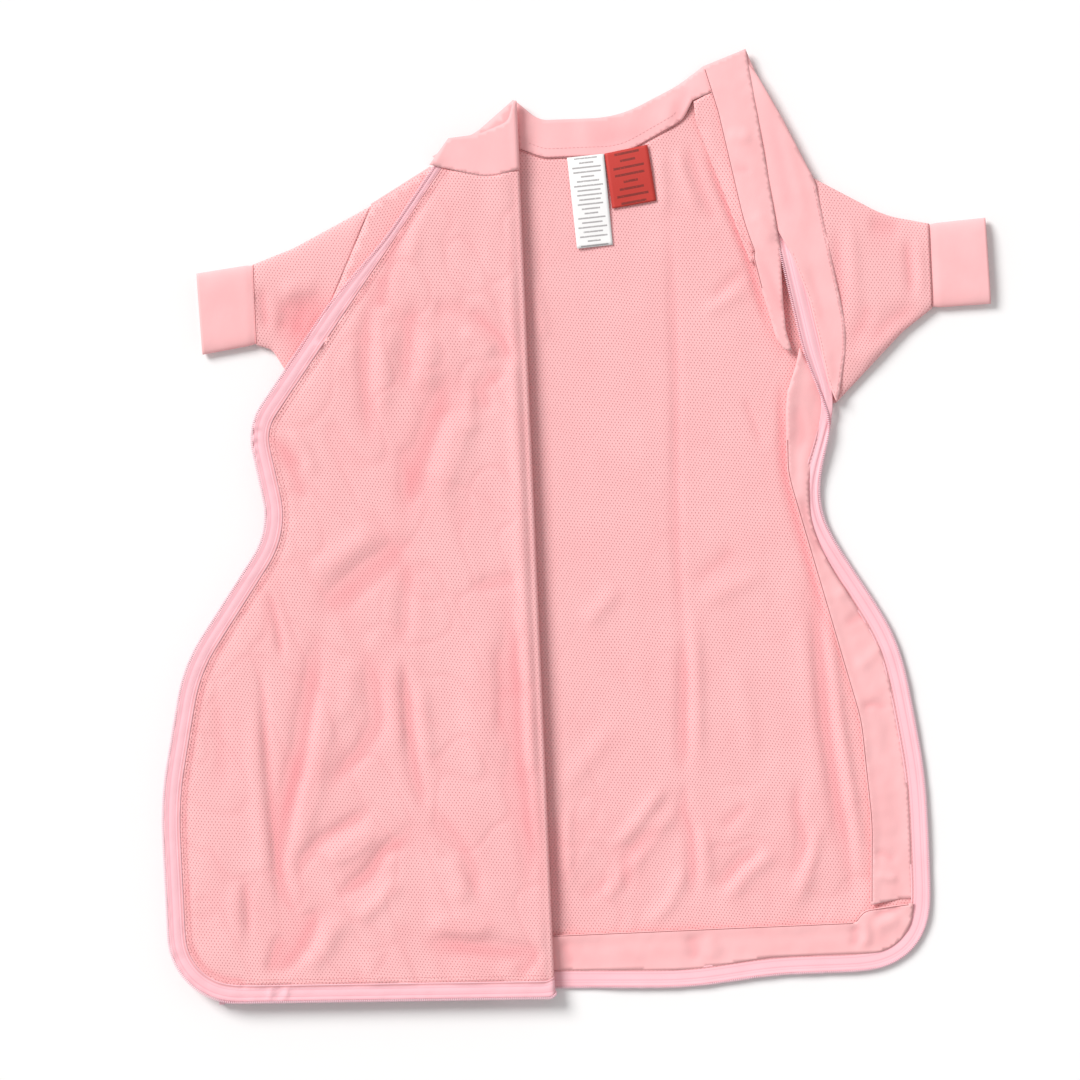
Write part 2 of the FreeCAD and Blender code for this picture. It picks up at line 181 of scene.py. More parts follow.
def run(line):
    """The length of a line of points."""
    return np.linalg.norm(np.diff(line, axis=0), axis=1).sum()


def creases(spots, marks, shade=False):
    """Height of the folds in a cloth, or with shade set, how much painted shade darkens their valleys, from 0 to
    1.
    A mark is (height mm, width mm, points in mm)."""
    high, deep = np.zeros(len(spots)), np.zeros(len(spots))
    for tall, wide, points in marks:
        line = even(np.array(points) / 1000, 24)
        line = np.r_[line[:1], (line[:-2] + 2 * line[1:-1] + line[2:]) / 4, line[-1:]]
        off, along = reach(spots, line)
        fade = smooth(0, 0.3, along) * smooth(0, 0.3, 1 - along)
        off = off / (wide / 1000)
        high += tall / 1000 * fade * np.exp(-(off**2))
        # Valleys get painted shade: a narrow dark line with a soft halo round it.
        if tall < 0:
            deep += -tall / 9 * fade * (bell(off, 0.6) + 0.9 * bell(off, 1.7))
    return deep if shade else high


def rumple(spots, size, seed, lean=0.0):
    """Soft unevenness from -1 to 1. size is across and along, in mm, and lean is in degrees."""
    turn = math.radians(lean)
    across = (spots[:, 0] * math.cos(turn) + spots[:, 1] * math.sin(turn)) * 1000 / size[0] + 500
    along = (spots[:, 1] * math.cos(turn) - spots[:, 0] * math.sin(turn)) * 1000 / size[1] + 500
    lattice = np.random.default_rng(seed).uniform(-1, 1, (128, 128))
    i, j = np.floor(across).astype(int), np.floor(along).astype(int)
    u, v = across - i, along - j
    u, v = u * u * (3 - 2 * u), v * v * (3 - 2 * v)
    a, b = lattice[i % 128, j % 128], lattice[(i + 1) % 128, j % 128]
    c, d = lattice[i % 128, (j + 1) % 128], lattice[(i + 1) % 128, (j + 1) % 128]
    return (a * (1 - u) + b * u) * (1 - v) + (c * (1 - u) + d * u) * v


def stepped(loop, step):
    """A closed loop with a spot at least every step."""
    edge = []
    for a, b in zip(loop, np.roll(loop, -1, 0)):
        pieces = max(1, round(float(np.linalg.norm(b - a)) / step))
        edge += [a + (b - a) * k / pieces for k in range(pieces)]
    return np.array(edge)


def crumple(spots, size, seed, lean=0.0):
    """Thin crossing creases, from 0 between them to 1 along them."""
    one = np.abs(rumple(spots, size, seed, lean))
    two = np.abs(rumple(spots, (size[0] * 1.7, size[1] * 1.4), seed + 7, lean + 31))
    return np.maximum(smooth(0.16, 0, one), 0.8 * smooth(0.12, 0, two))


def cut(loop, step, more=None):
    """Cut a cloth to a loop: its spots, about a step apart, and its faces."""
    loop = np.asarray(loop, float)
    if np.cross(loop, np.roll(loop, -1, 0)).sum() < 0:
        loop = loop[::-1]
    edge = stepped(loop, step)
    kept = [0]
    for k in range(1, len(edge)):
        if np.linalg.norm(edge[k] - edge[kept[-1]]) > step * 0.45:
            kept.append(k)
    edge = edge[kept]
    low, high = edge.min(0), edge.max(0)
    rows = np.arange(low[1], high[1], step * 0.87)
    columns = np.arange(low[0], high[0] + step, step)
    grid = [(x + (step / 2 if k % 2 else 0), y) for k, y in enumerate(rows) for x in columns]
    grid = np.array(grid)
    if more is not None:
        grid = np.r_[grid[~more(grid)[0]], more(grid)[1]]
    grid = grid[inside(grid, edge)]
    clear = np.ones(len(grid), bool)
    for a, b in zip(edge, np.roll(edge, -1, 0)):
        box = (grid[:, 0] > min(a[0], b[0]) - step) & (grid[:, 0] < max(a[0], b[0]) + step)
        box &= (grid[:, 1] > min(a[1], b[1]) - step) & (grid[:, 1] < max(a[1], b[1]) + step)
        near = np.where(box)[0]
        if len(near):
            d = b - a
            t = np.clip(((grid[near] - a) @ d) / (d @ d), 0, 1)
            clear[near] &= np.linalg.norm(grid[near] - a - t[:, None] * d, axis=1) > step * 0.5
    spots = np.r_[edge, grid[clear]]
    made = delaunay_2d_cdt([Vector(p) for p in spots], [], [list(range(len(edge)))], 1, 1e-7)
    return np.array([tuple(p) for p in made[0]]), [tuple(f) for f in made[2]]


def sew(name, spots, faces, chart, finish, thick, side=-1.0, painted_shade=None):
    """A cloth piece through the spots: its chart in metres as UV, its thickness on one side."""
    mesh = bpy.data.meshes.new(name)
    mesh.from_pydata([tuple(map(float, p)) for p in spots], [], [tuple(map(int, f)) for f in faces])
    layer = mesh.uv_layers.new(name="cloth_chart")
    corners = np.empty(len(mesh.loops), int)
    mesh.loops.foreach_get("vertex_index", corners)
    layer.data.foreach_set("uv", np.asarray(chart, np.float32)[corners].ravel())
    # The painted shade of the fold valleys, from 0 to 1, kept on the points for the materials to darken the
    # colour by.
    if painted_shade is not None:
        depth = mesh.attributes.new("painted_shade", "FLOAT", "POINT")
        depth.data.foreach_set("value", np.clip(painted_shade, 0, 1).astype(np.float32))
    piece = bpy.data.objects.new(name, mesh)
    scene.collection.objects.link(piece)
    mesh.materials.append(finish)
    mesh.shade_smooth()
    if thick:
        wall = piece.modifiers.new("thickness", "SOLIDIFY")
        wall.thickness = thick
        wall.offset = side
        wall.use_rim = True
        settle(piece)
    return piece


def settle(piece):
    """Turn a piece's modifiers into its plain mesh."""
    bpy.context.view_layer.update()
    seen = piece.evaluated_get(bpy.context.evaluated_depsgraph_get())
    mesh = bpy.data.meshes.new_from_object(seen)
    piece.modifiers.clear()
    old = piece.data
    piece.data = mesh
    mesh.name = piece.name
    bpy.data.meshes.remove(old)
    mesh.shade_smooth()


def stand_for(piece, slot, body, *nodes):
    """Hide the nodes that a piece is shown in place of, and attach it to the body it moves with. slot is not
    used.
    With a pair of bodies it is not attached: its place is baked into its mesh."""
    if nodes:
        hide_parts(*nodes)
    if isinstance(body, str):
        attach(piece, body)
    else:
        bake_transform(piece)


class Finish:
    """A procedural material, put together node by node."""

    def __init__(self, name):
        self.material = bpy.data.materials.new(name)
        self.material.use_nodes = True
        self.tree = self.material.node_tree
        self.shader = self.tree.nodes["Principled BSDF"]

    def node(self, kind, *inputs, **settings):
        made = self.tree.nodes.new(kind)
        for key, value in settings.items():
            setattr(made, key, value)
        for slot, value in enumerate(inputs):
            if isinstance(value, bpy.types.NodeSocket):
                self.tree.links.new(value, made.inputs[slot])
            elif value is not None:
                made.inputs[slot].default_value = value
        return made

    def sum(self, operation, *inputs, clamp=False):
        return self.node("ShaderNodeMath", *inputs, operation=operation, use_clamp=clamp).outputs[0]

    def chart(self):
        uv = self.node("ShaderNodeUVMap", uv_map="cloth_chart").outputs[0]
        parts = self.node("ShaderNodeSeparateXYZ", uv)
        return uv, parts.outputs[0], parts.outputs[1]

    def patches(self, where, size, detail=2.0):
        """Noise whose patches are about size metres across."""
        noise = self.node("ShaderNodeTexNoise", noise_dimensions="3D")
        self.tree.links.new(where, noise.inputs["Vector"])
        noise.inputs["Scale"].default_value = 1 / size
        noise.inputs["Detail"].default_value = detail
        return noise.outputs[0]

    def mix(self, share, low, high):
        """A colour between two, by a share from 0 to 1."""
        made = self.node("ShaderNodeMix", data_type="RGBA")
        self.tree.links.new(share, made.inputs["Factor"])
        for slot, colour in (("A", low), ("B", high)):
            if isinstance(colour, bpy.types.NodeSocket):
                self.tree.links.new(colour, made.inputs[slot])
            else:
                made.inputs[slot].default_value = (*colour, 1)
        return made.outputs["Result"]

    def with_painted_shade(self, base):
        """Painted shade: a deeper pink in the valleys of the folds, by the amount of painted shade kept on the
        cloth's points.
        """
        wear_and_shade = self.node("ShaderNodeAttribute", attribute_name="painted_shade").outputs["Fac"]
        return self.mix(wear_and_shade, base, (0.92, 0.30, 0.33))

    def range(self, value, low, high, out_low=0.0, out_high=1.0):
        made = self.node("ShaderNodeMapRange", interpolation_type="SMOOTHSTEP")
        self.tree.links.new(value, made.inputs["Value"])
        limits = {"From Min": low, "From Max": high, "To Min": out_low, "To Max": out_high}
        for slot, limit in limits.items():
            made.inputs[slot].default_value = limit
        return made.outputs["Result"]

    def set(self, **values):
        for key, value in values.items():
            socket = self.shader.inputs[key.replace("_", " ")]
            if isinstance(value, bpy.types.NodeSocket):
                self.tree.links.new(value, socket)
            else:
                socket.default_value = value

    def bump(self, height, deep, under=None):
        made = self.node("ShaderNodeBump")
        made.inputs["Strength"].default_value = 1
        made.inputs["Distance"].default_value = deep
        self.tree.links.new(height, made.inputs["Height"])
        if under is not None:
            self.tree.links.new(under, made.inputs["Normal"])
        self.tree.links.new(made.outputs[0], self.shader.inputs["Normal"])
        return made.outputs[0]


def knit_with_eyelets(name, light, dark, eyelet_shade):
    """Cotton knit: rows of staggered eyelets, knit rows between them, and a soft fuzz."""
    apart, rows = 0.0026, 0.0041
    f = Finish(name)
    uv, u, v = f.chart()
    warp = f.patches(uv, 0.05)
    u = f.sum("ADD", u, f.sum("MULTIPLY", f.sum("SUBTRACT", warp, 0.5), 0.004))
    tilt = f.sum("ADD", v, f.sum("MULTIPLY", u, 0.12))
    tilt = f.sum("ADD", tilt, f.sum("MULTIPLY", f.sum("SUBTRACT", warp, 0.5), 0.005))
    across = f.sum("COSINE", f.sum("MULTIPLY", u, 2 * math.pi / apart))
    along = f.sum("COSINE", f.sum("MULTIPLY", tilt, 2 * math.pi / rows))
    lattice = f.sum("MULTIPLY", across, along)
    eyelet = f.range(lattice, 0.5, 0.98)
    fuzz = f.patches(uv, 0.0009, 3)
    cloud = f.patches(uv, 0.045, 4)
    # The base colour is darkened by the painted shade of the fold valleys.
    base = f.with_painted_shade(f.mix(cloud, light, dark))
    # The eyelets are dark dots of painted shade, the shade that falls into the holes; how dark varies in patches.
    share = f.sum("MULTIPLY", eyelet, f.range(f.patches(uv, 0.004), 0.25, 0.6, 0.45, 1.0))
    f.set(Base_Color=f.mix(share, base, eyelet_shade), Roughness=0.92)
    f.set(Sheen_Weight=0.18, Sheen_Roughness=0.45, Specular_IOR_Level=0.15)
    fine = f.bump(fuzz, 0.00012)
    f.bump(f.sum("SUBTRACT", 1.0, eyelet), 0.00028, fine)
    return f.material


mesh_knit = knit_with_eyelets(
    "mesh_knit", light=(0.97, 0.545, 0.555), dark=(0.95, 0.475, 0.49), eyelet_shade=(0.66, 0.21, 0.22)
)

back_marks = [
    # the long mark of the folded cloth
    (-1.2, 4, [(84, 262), (85, 200), (84, 100), (79, 0), (80, -50), (82, -98), (80, -130)]),
    (-1.9, 5, [(82, -80), (81, -120), (79, -149), (77, -189), (80, -206)]),
    (-2.0, 4, [(80, -196), (75, -224), (81, -244), (81, -270), (79, -300)]),
    (1.4, 6, [(90, -60), (90, -130), (88, -200)]),
    (1.3, 6, [(90, -236), (92, -262), (90, -290)]),
    # loose folds above the hem
    (1.5, 7, [(2, -302), (30, -268), (52, -240), (80, -214)]),
    (-1.5, 6, [(30, -294), (29, -272), (30, -260), (44, -246), (62, -232)]),
    (-1.0, 6, [(-10, -292), (6, -281), (22, -270)]),
    (1.3, 6, [(14, -255), (40, -232), (66, -200)]),
    (1.4, 7, [(100, -300), (122, -276), (150, -256)]),
    (-1.6, 5, [(100, -290), (106, -280), (117, -267), (138, -254)]),
    (-1.2, 5, [(104, -242), (114, -232), (128, -220)]),
    (1.4, 6, [(160, -304), (172, -270), (182, -232)]),
    (-1.5, 5, [(156, -288), (163, -272), (169, -254), (164, -226), (168, -196)]),
    (1.1, 6, [(40, -316), (62, -296), (78, -262)]),
    (1.0, 9, [(-24, -210), (4, -180), (30, -150)]),
    (0.9, 8, [(92, -66), (120, -52), (150, -40)]),
    (-0.8, 7, [(88, -50), (112, -34), (128, -20)]),
    (1.0, 7, [(0, -80), (20, -62), (34, -44)]),
    # puckers under the neckband and along the right side
    (1.1, 4, [(92, 296), (97, 270), (108, 236)]),
    (-1.1, 4, [(100, 300), (108, 268), (122, 226)]),
    (1.0, 5, [(78, 296), (80, 270), (82, 236)]),
    (-0.9, 5, [(112, 170), (132, 188), (146, 196)]),
    (0.8, 6, [(104, 160), (126, 172), (144, 182)]),
    (-0.9, 3, [(136, 98), (144, 74), (150, 52)]),
    (-2.2, 6, [(180, -30), (185, -66), (187, -97), (189, -160), (196, -222), (203, -277), (206, -312)]),
    (1.9, 5, [(186, -20), (193, -66), (196, -110), (200, -160), (207, -222), (212, -277), (214, -300)]),
    (1.0, 8, [(172, -60), (177, -110), (180, -170), (186, -230)]),
    (0.9, 9, [(120, -100), (128, -150), (132, -200)]),
    # in the gaps under the free edges of the lining and the guard: shallow dips, whose painted shade darkens the
    # gaps
    (-2.7, 2.2, [(113, 296), (124, 260), (134, 232), (144, 204), (149.5, 180), (156.5, 156), (161, 138)]),
    (-2.9, 2.4, [(167, 116), (165.5, 96), (165, 60), (164.5, 34), (171, 4), (182, -40), (190, -72), (200, -110)]),
    # against the fold of the front
    (1.4, 5, [(-22, 200), (-20, 170), (-18, 140)]),
    (-1.6, 4, [(-24, -216), (-26, -240), (-27, -275), (-24, -312)]),
    (1.2, 5, [(-16, -210), (-17, -250), (-15, -290)]),
]



def coarse_under_front(grid):
    """Wide spacing where the front covers the back."""
    low, high = grid.min(0), grid.max(0)
    rows, columns = np.arange(low[1], high[1], 0.007), np.arange(low[0], -0.050, 0.007)
    return grid[:, 0] < -0.047, np.array([(x, y) for y in rows for x in columns])


back_spots, back_faces = cut(rim("back_panel"), 0.0027, coarse_under_front)
lift = creases(back_spots, back_marks)
open_part = smooth(-0.034, -0.010, back_spots[:, 0])
rough = 0.00035 * rumple(back_spots, (34, 60), 3) + 0.00022 * rumple(back_spots, (13, 40), 4, 10)
low_part = smooth(-0.10, -0.26, back_spots[:, 1])
rough += 0.0007 * low_part * rumple(back_spots, (17, 34), 5, -38)
lift = (lift * 1.25 + rough) * open_part
lift = np.where(lift > 0, lift, lift * 0.8)
back_high = np.clip(0.0019 + lift, 0.0010, 0.0046)
under_front = back_spots[:, 0] < -0.03
back_high = np.where(under_front, np.minimum(back_high, 0.0021), back_high)
fine_marks = crumple(back_spots, (22, 40), 71, -24)
fine_marks = fine_marks * smooth(-0.9, 0.6, rumple(back_spots, (60, 60), 72))
fine_marks = fine_marks * (0.35 + 0.65 * low_part) * open_part
back_high = np.where(under_front, back_high, back_high - 0.00035 * fine_marks)
# Its colour is darkened by painted shade in the valleys of its creases and along its fine crumples.
back_panel = sew(
    "back_cloth",
    np.c_[back_spots, back_high],
    back_faces,
    back_spots,
    mesh_knit,
    0.0009,
    painted_shade=creases(back_spots, back_marks, True) + 0.12 * fine_marks,
)
stand_for(back_panel, "mesh_knit", "shell", "back_panel")


def cut_area(spots, faces):
    """The flat area of a cut, in square metres."""
    f = np.array(faces)
    a, b, c = spots[f[:, 0]], spots[f[:, 1]], spots[f[:, 2]]
    return float(abs(np.cross(b - a, c - a)).sum() / 2)


def declare(piece, spots, faces, held="laid", **more):
    """Work out the flat area of a cut from its spots and faces; the area is not kept."""
    cut_area(spots, faces)


declare(back_panel, back_spots, back_faces)


# ---- Front panel --------------------------------------------------------------------------------
# One piece of the same knit. Its left half lies in place over the back. Its right half is turned
# over along the middle of the front, so the cloth runs round a soft fold, inside up.

fold_x = -0.0335
fold_mid = 0.0112
fold_round = 0.0024
fold_run = fold_round * math.pi / 2


def turned(along, y, proud):
    """Where a spot of the front lies. along is counted from the fold, positive on the turned half.
    proud is how far it stands off the cloth on the side of the wearer."""
    r = fold_round + proud
    far = np.abs(along) - fold_run
    angle = np.clip(along / fold_run, -1, 1) * math.pi / 2
    x = fold_x + np.where(far > 0, -far, r * np.cos(angle))
    return np.stack([x, y, fold_mid + r * np.sin(angle)], 1)


def over_fold(line, half):
    """A flat line of the front, counted from the fold: half is 1 on the turned half, else -1."""
    return np.c_[half * (fold_x - line[:, 0] + fold_run), line[:, 1]]


def from_gap(loop):
    """A loop with a stretch taken out, started where the stretch was."""
    return np.roll(loop, -int(np.argmax(np.linalg.norm(loop - np.roll(loop, 1, 0), axis=1))), 0)


def one_sheet(turned_loop, fixed_loop):
    """The two halves of the front joined at the fold into one flat cut."""

    def opened(loop):
        at = np.where(loop[:, 0] > fold_x - 2e-5)[0]
        top, bottom = at[np.argmax(loop[at, 1])], at[np.argmin(loop[at, 1])]
        count = len(loop)
        forward = [(top + k) % count for k in range((bottom - top) % count + 1)]
        backward = [(top - k) % count for k in range((top - bottom) % count + 1)]
        return loop[forward if len(forward) > len(backward) else backward]

    return np.r_[over_fold(opened(turned_loop), 1), over_fold(opened(fixed_loop), -1)[::-1]]


def near_fold(grid):
    """Close spacing round the fold, wide spacing on the half that is covered."""
    taken = grid[:, 0] < fold_run + 0.004
    low, high = grid.min(0), grid.max(0)
    columns = np.arange(-fold_run - 0.003, fold_run + 0.0031, 0.0009)
    spots = [(x, y) for y in np.arange(low[1], high[1], 0.0034) for x in columns]
    wide = np.arange(-fold_run - 0.008, low[0], -0.006)
    spots += [(x, y) for y in np.arange(low[1], high[1], 0.006) for x in wide]
    return taken, np.array(spots)


front_marks = [
    # beside the fold
    (1.6, 6, [(-40, 262), (-41, 150), (-41, 20), (-41, -120), (-41, -250), (-42, -318)]),
    (-2.0, 8, [(-53, -30), (-53, -70), (-50, -113), (-51, -172), (-46, -238), (-45, -268), (-56, -300)]),
    (-1.0, 6, [(-64, -80), (-61, -130), (-66, -172)]),
    (0.9, 12, [(-74, -60), (-80, -130), (-80, -200)]),
    # the deep crease that runs down the left of the turned half
    (-1.4, 3.5, [(-240, -36), (-234, -65), (-230, -98)]),
    (-1.5, 3.5, [(-247, -80), (-247, -146), (-245, -192), (-242, -240), (-240, -268), (-242, -300)]),
    (-1.9, 8, [(-200, -60), (-206, -95), (-211, -122), (-220, -168), (-232, -210), (-240, -252)]),
    (-1.3, 6, [(-218, -150), (-226, -180), (-236, -216), (-241, -256), (-232, -292), (-228, -312)]),
    (1.5, 9, [(-196, -100), (-202, -150), (-212, -190), (-222, -232), (-224, -262)]),
    (1.2, 7, [(-254, -120), (-255, -180), (-252, -230), (-250, -276)]),
    (-2.1, 7, [(-208, -282), (-217, -298), (-228, -318), (-250, -340)]),
    (-1.5, 5, [(-240, -304), (-246, -322), (-252, -340)]),
    (1.5, 8, [(-192, -290), (-208, -318), (-226, -338)]),
    # the crease in the middle
    (-1.1, 6, [(-130, -14), (-131, -34), (-134, -66), (-137, -92)]),
    (-1.8, 4.5, [(-138, -86), (-135, -126), (-134, -160), (-131, -188), (-126, -214), (-120, -226)]),
    (1.2, 7, [(-146, -90), (-146, -130), (-142, -176)]),
    (1.0, 6, [(-124, -110), (-123, -150), (-120, -186)]),
    (-1.3, 7, [(-122, -208), (-114, -220), (-100, -239), (-88, -265), (-87, -296)]),
    (1.1, 8, [(-110, -248), (-100, -268), (-98, -292)]),
    # small folds of the chest
    (-1.9, 6, [(-80, 174), (-68, 166), (-51, 150), (-40, 122)]),
    (1.3, 6, [(-84, 158), (-68, 148), (-56, 132)]),
    (-1.5, 5, [(-44, 122), (-60, 118), (-68, 110), (-62, 88)]),
    (1.0, 6, [(-80, 112), (-78, 92), (-74, 72)]),
    (-0.9, 9, [(-104, 174), (-90, 174), (-72, 173)]),
    (-1.9, 10, [(-90, 138), (-101, 97), (-112, 73), (-124, 38), (-134, 0)]),
    (1.5, 10, [(-82, 96), (-92, 60), (-102, 24)]),
    (-1.0, 6, [(-132, 74), (-128, 48), (-126, 22)]),
    (-1.4, 8, [(-114, 190), (-121, 160), (-125, 130), (-125, 100)]),
    (1.0, 8, [(-104, 160), (-110, 130), (-112, 108)]),
    (-1.4, 7, [(-149, 200), (-155, 160), (-158, 130), (-157, 100), (-154, 60)]),
    (1.1, 8, [(-140, 170), (-144, 130), (-144, 90)]),
    (-1.6, 6, [(-141, 206), (-142, 190), (-144, 172)]),
    (-1.1, 6, [(-84, -45), (-62, -41), (-42, -36)]),
    (-1.6, 11, [(-204, -66), (-186, -48), (-169, -33), (-138, -12), (-116, 0)]),
    (1.4, 10, [(-206, -32), (-180, -14), (-150, 8)]),
    # loose folds low down
    (-1.4, 8, [(-206, -206), (-190, -184), (-172, -166), (-158, -144), (-160, -112), (-165, -80)]),
    (1.0, 8, [(-190, -150), (-180, -120), (-180, -90)]),
    (-1.4, 6, [(-226, -270), (-222, -249), (-208, -235), (-176, -218), (-160, -204)]),
    (-1.9, 6, [(-202, -286), (-190, -276), (-170, -262), (-158, -244), (-142, -238), (-136, -220)]),
    (1.5, 7, [(-206, -254), (-184, -242), (-162, -228)]),
    (1.4, 7, [(-186, -300), (-164, -284), (-144, -264)]),
    (-1.9, 8, [(-136, -318), (-110, -321), (-92, -324), (-66, -328), (-36, -326)]),
    (-1.4, 6, [(-40, -322), (-50, -338), (-60, -350)]),
    (1.4, 8, [(-130, -304), (-100, -306), (-66, -310)]),
    (-1.0, 4, [(-268, -256), (-266, -284), (-266, -312)]),
    (0.9, 6, [(-276, -262), (-276, -292), (-272, -320)]),
    (-0.8, 8, [(-284, -110), (-282, -160), (-280, -200)]),
    # at the waist seam and the raglan
    (-1.6, 5, [(-240, 84), (-224, 72), (-208, 52)]),
    (1.2, 5, [(-224, 90), (-208, 72), (-196, 46)]),
    (-1.2, 5, [(-230, 78), (-216, 52), (-208, 24)]),
    (-1.3, 5, [(-106, 276), (-120, 248), (-134, 214), (-142, 184)]),
    (1.1, 6, [(-100, 262), (-114, 236), (-122, 206)]),
]

front_loop = one_sheet(rim("front_panel_flap"), rim("front_panel_left"))
zip_seam = rim("front_panel_flap")
off_neck = (zip_seam[:, 1] < 0.26) | (zip_seam[:, 0] < -0.08)
zip_seam = from_gap(zip_seam[(zip_seam[:, 0] < fold_x - 0.001) & off_neck])


def laid(flat):
    """The place over the floor of spots counted from the fold."""
    x = fold_x - (np.abs(flat[:, 0]) - fold_run)
    return np.c_[np.minimum(x, fold_x), flat[:, 1]]


def front_loft(flat):
    """How far the front stands proud of flat: folds on the turned half, hardly any below."""
    at = laid(flat)
    up = creases(at, front_marks)
    up += 0.0004 * rumple(at, (34, 60), 11) + 0.0003 * rumple(at, (12, 38), 12, 8)
    up += 0.0006 * smooth(-0.12, -0.28, at[:, 1]) * rumple(at, (18, 30), 13, 36)
    up -= 0.0003 * crumple(at, (24, 44), 73, 20)
    seam, _ = reach(at, zip_seam)
    puckers = 0.0004 * rumple(at, (9, 9), 15) * bell(seam, 0.012)
    edge = 0.0008 * bell(seam, 0.0026) * (0.7 + 0.5 * rumple(at, (7, 7), 16))
    edge -= 0.0007 * bell(np.abs(seam) - 0.0045, 0.0024)
    up = (0.0012 + up * 1.35) * smooth(-0.004, 0.024, np.abs(seam)) + puckers + edge
    up = np.clip(up, 0, 0.0031) * smooth(fold_run, fold_run + 0.008, flat[:, 0])
    still = 0.00025 * rumple(at, (26, 44), 14)
    return np.where(flat[:, 0] > 0, up, still * smooth(fold_run, fold_run + 0.01, -flat[:, 0]))


front_spots, front_faces = cut(front_loop, 0.0027, near_fold)
front_at = laid(front_spots)
# Painted shade on the turned half: in the valleys of its creases, along its fine crumples, and in a line just
# inside the zip seam where the cloth rolls in.
front_shade = creases(front_at, front_marks, True) * 1.1
front_shade += 0.10 * crumple(front_at, (24, 44), 73, 20)
in_seam = np.abs(reach(front_at, zip_seam)[0]) - 0.0042
rolled_in = smooth(0.03, -0.08, front_at[:, 1]) + 0.5 * (front_at[:, 1] > 0.18)
front_shade += 0.42 * rolled_in * bell(in_seam, 0.0026) * (0.8 + 0.4 * rumple(front_at, (9, 9), 17))
front_shade *= front_spots[:, 0] > 0.004
front_panel = sew(
    "front_cloth",
    turned(front_spots[:, 0], front_spots[:, 1], front_loft(front_spots)),
    front_faces,
    front_spots * (-1, 1),
    mesh_knit,
    0.0008,
    0.0,
    front_shade,
)
stand_for(front_panel, "mesh_knit", ("shell", "flap"), "front_panel_flap", "front_panel_left")
declare(front_panel, front_spots, front_faces, "folded", rests_on=["back_cloth"])


# ---- Neckband -----------------------------------------------------------------------------------
# A smooth band of doubled jersey, about 30 mm wide, sewn round the neck with an overlocked seam.
# It climbs onto the yoke on the right, and folds over with the front on the left.


def smooth_jersey(name, light, dark, rib=0.0009):
    """Cotton jersey: fine wales along the cloth, a soft fuzz and slight changes of shade."""
    f = Finish(name)
    uv, u, v = f.chart()
    wales = f.sum("SINE", f.sum("MULTIPLY", u, 2 * math.pi / rib))
    fuzz = f.patches(uv, 0.0008, 3)
    cloud = f.sum("MULTIPLY", f.patches(uv, 0.03, 4), 0.8)
    cloud = f.sum("ADD", cloud, f.sum("MULTIPLY", fuzz, 0.25))
    # The colour is darkened by the painted shade of the fold valleys.
    f.set(Base_Color=f.with_painted_shade(f.mix(f.range(cloud, 0.25, 0.8), light, dark)), Roughness=0.88)
    f.set(Sheen_Weight=0.2, Sheen_Roughness=0.4, Specular_IOR_Level=0.18)
    fine = f.bump(fuzz, 0.00010)
    f.bump(wales, 0.000012, fine)
    return f.material


plain_jersey = smooth_jersey("plain_jersey", (0.985, 0.545, 0.56), (0.96, 0.49, 0.505))

band_spots, band_faces = cut(rim("neckband_back"), 0.0028)
band_marks = [
    (0.8, 5, [(84, 306), (88, 320), (92, 336)]),
    (-0.9, 4, [(92, 306), (98, 324), (104, 342)]),
    (1.0, 4, [(100, 314), (106, 330), (110, 346)]),
    (-0.7, 8, [(20, 300), (48, 300), (74, 308)]),
    (0.6, 6, [(-26, 300), (-24, 312), (-20, 322)]),
]
climb = smooth(0.088, 0.118, band_spots[:, 0])
band_high = 0.0028 + creases(band_spots, band_marks) + 0.00035 * rumple(band_spots, (12, 40), 21)
band_high = np.clip(band_high, 0.0021, 0.0048) * (1 - climb)
band_high = band_high + climb * (0.0078 + 0.0004 * rumple(band_spots, (14, 14), 22))
# Painted shade in the valleys of the band's creases.
band_shade = creases(band_spots, band_marks, True) * 1.5
band_back = sew(
    "neckband_back_cloth",
    np.c_[band_spots, band_high],
    band_faces,
    band_spots,
    plain_jersey,
    0.0016,
    painted_shade=band_shade,
)
stand_for(band_back, "plain_jersey", "shell", "neckband_back")
declare(band_back, band_spots, band_faces)

turned_band = one_sheet(rim("neckband_flap"), rim("neckband_left"))
foot = int(np.argmax(turned_band[:, 0] - 0.5 * turned_band[:, 1]))
turned_band[foot] += (0.0085, 0.0030)
turned_spots, turned_faces = cut(turned_band, 0.0028, near_fold)
along = turned_spots[:, 0]
turned_high = np.where(along > 0, 0.0008, 0.0002) * smooth(0, 0.004, np.abs(along))
turned_high = turned_high + 0.0003 * rumple(laid(turned_spots), (11, 30), 23) * (along > 0.006)
over_clip = np.linalg.norm(turned_spots - turned_band[foot] - (-0.001, 0.003), axis=1)
turned_high = turned_high + 0.0024 * bell(over_clip, 0.008)
band_turned = sew(
    "neckband_front_cloth",
    turned(turned_spots[:, 0], turned_spots[:, 1], np.maximum(turned_high, 0)),
    turned_faces,
    turned_spots,
    plain_jersey,
    0.0012,
    0.0,
)
stand_for(band_turned, "plain_jersey", ("shell", "flap"), "neckband_flap", "neckband_left")
declare(band_turned, turned_spots, turned_faces, "folded")


# ---- Yoke and its lining ------------------------------------------------------------------------
# The front shoulder on the right is plain jersey between zip and armhole. A strip of the knit layer
# on the wearer's side shows beside the zip guard, with a deep gap down to the back.


def between(loop, a, b):
    """The shorter way along a loop between the corners nearest to two places, in mm."""
    a, b = (int(np.argmin(np.linalg.norm(loop - np.array(p) / 1000, axis=1))) for p in (a, b))
    count = len(loop)
    forward = loop[[(a + k) % count for k in range((b - a) % count + 1)]]
    backward = loop[[(a - k) % count for k in range((a - b) % count + 1)]]
    return forward if run(forward) < run(backward) else backward


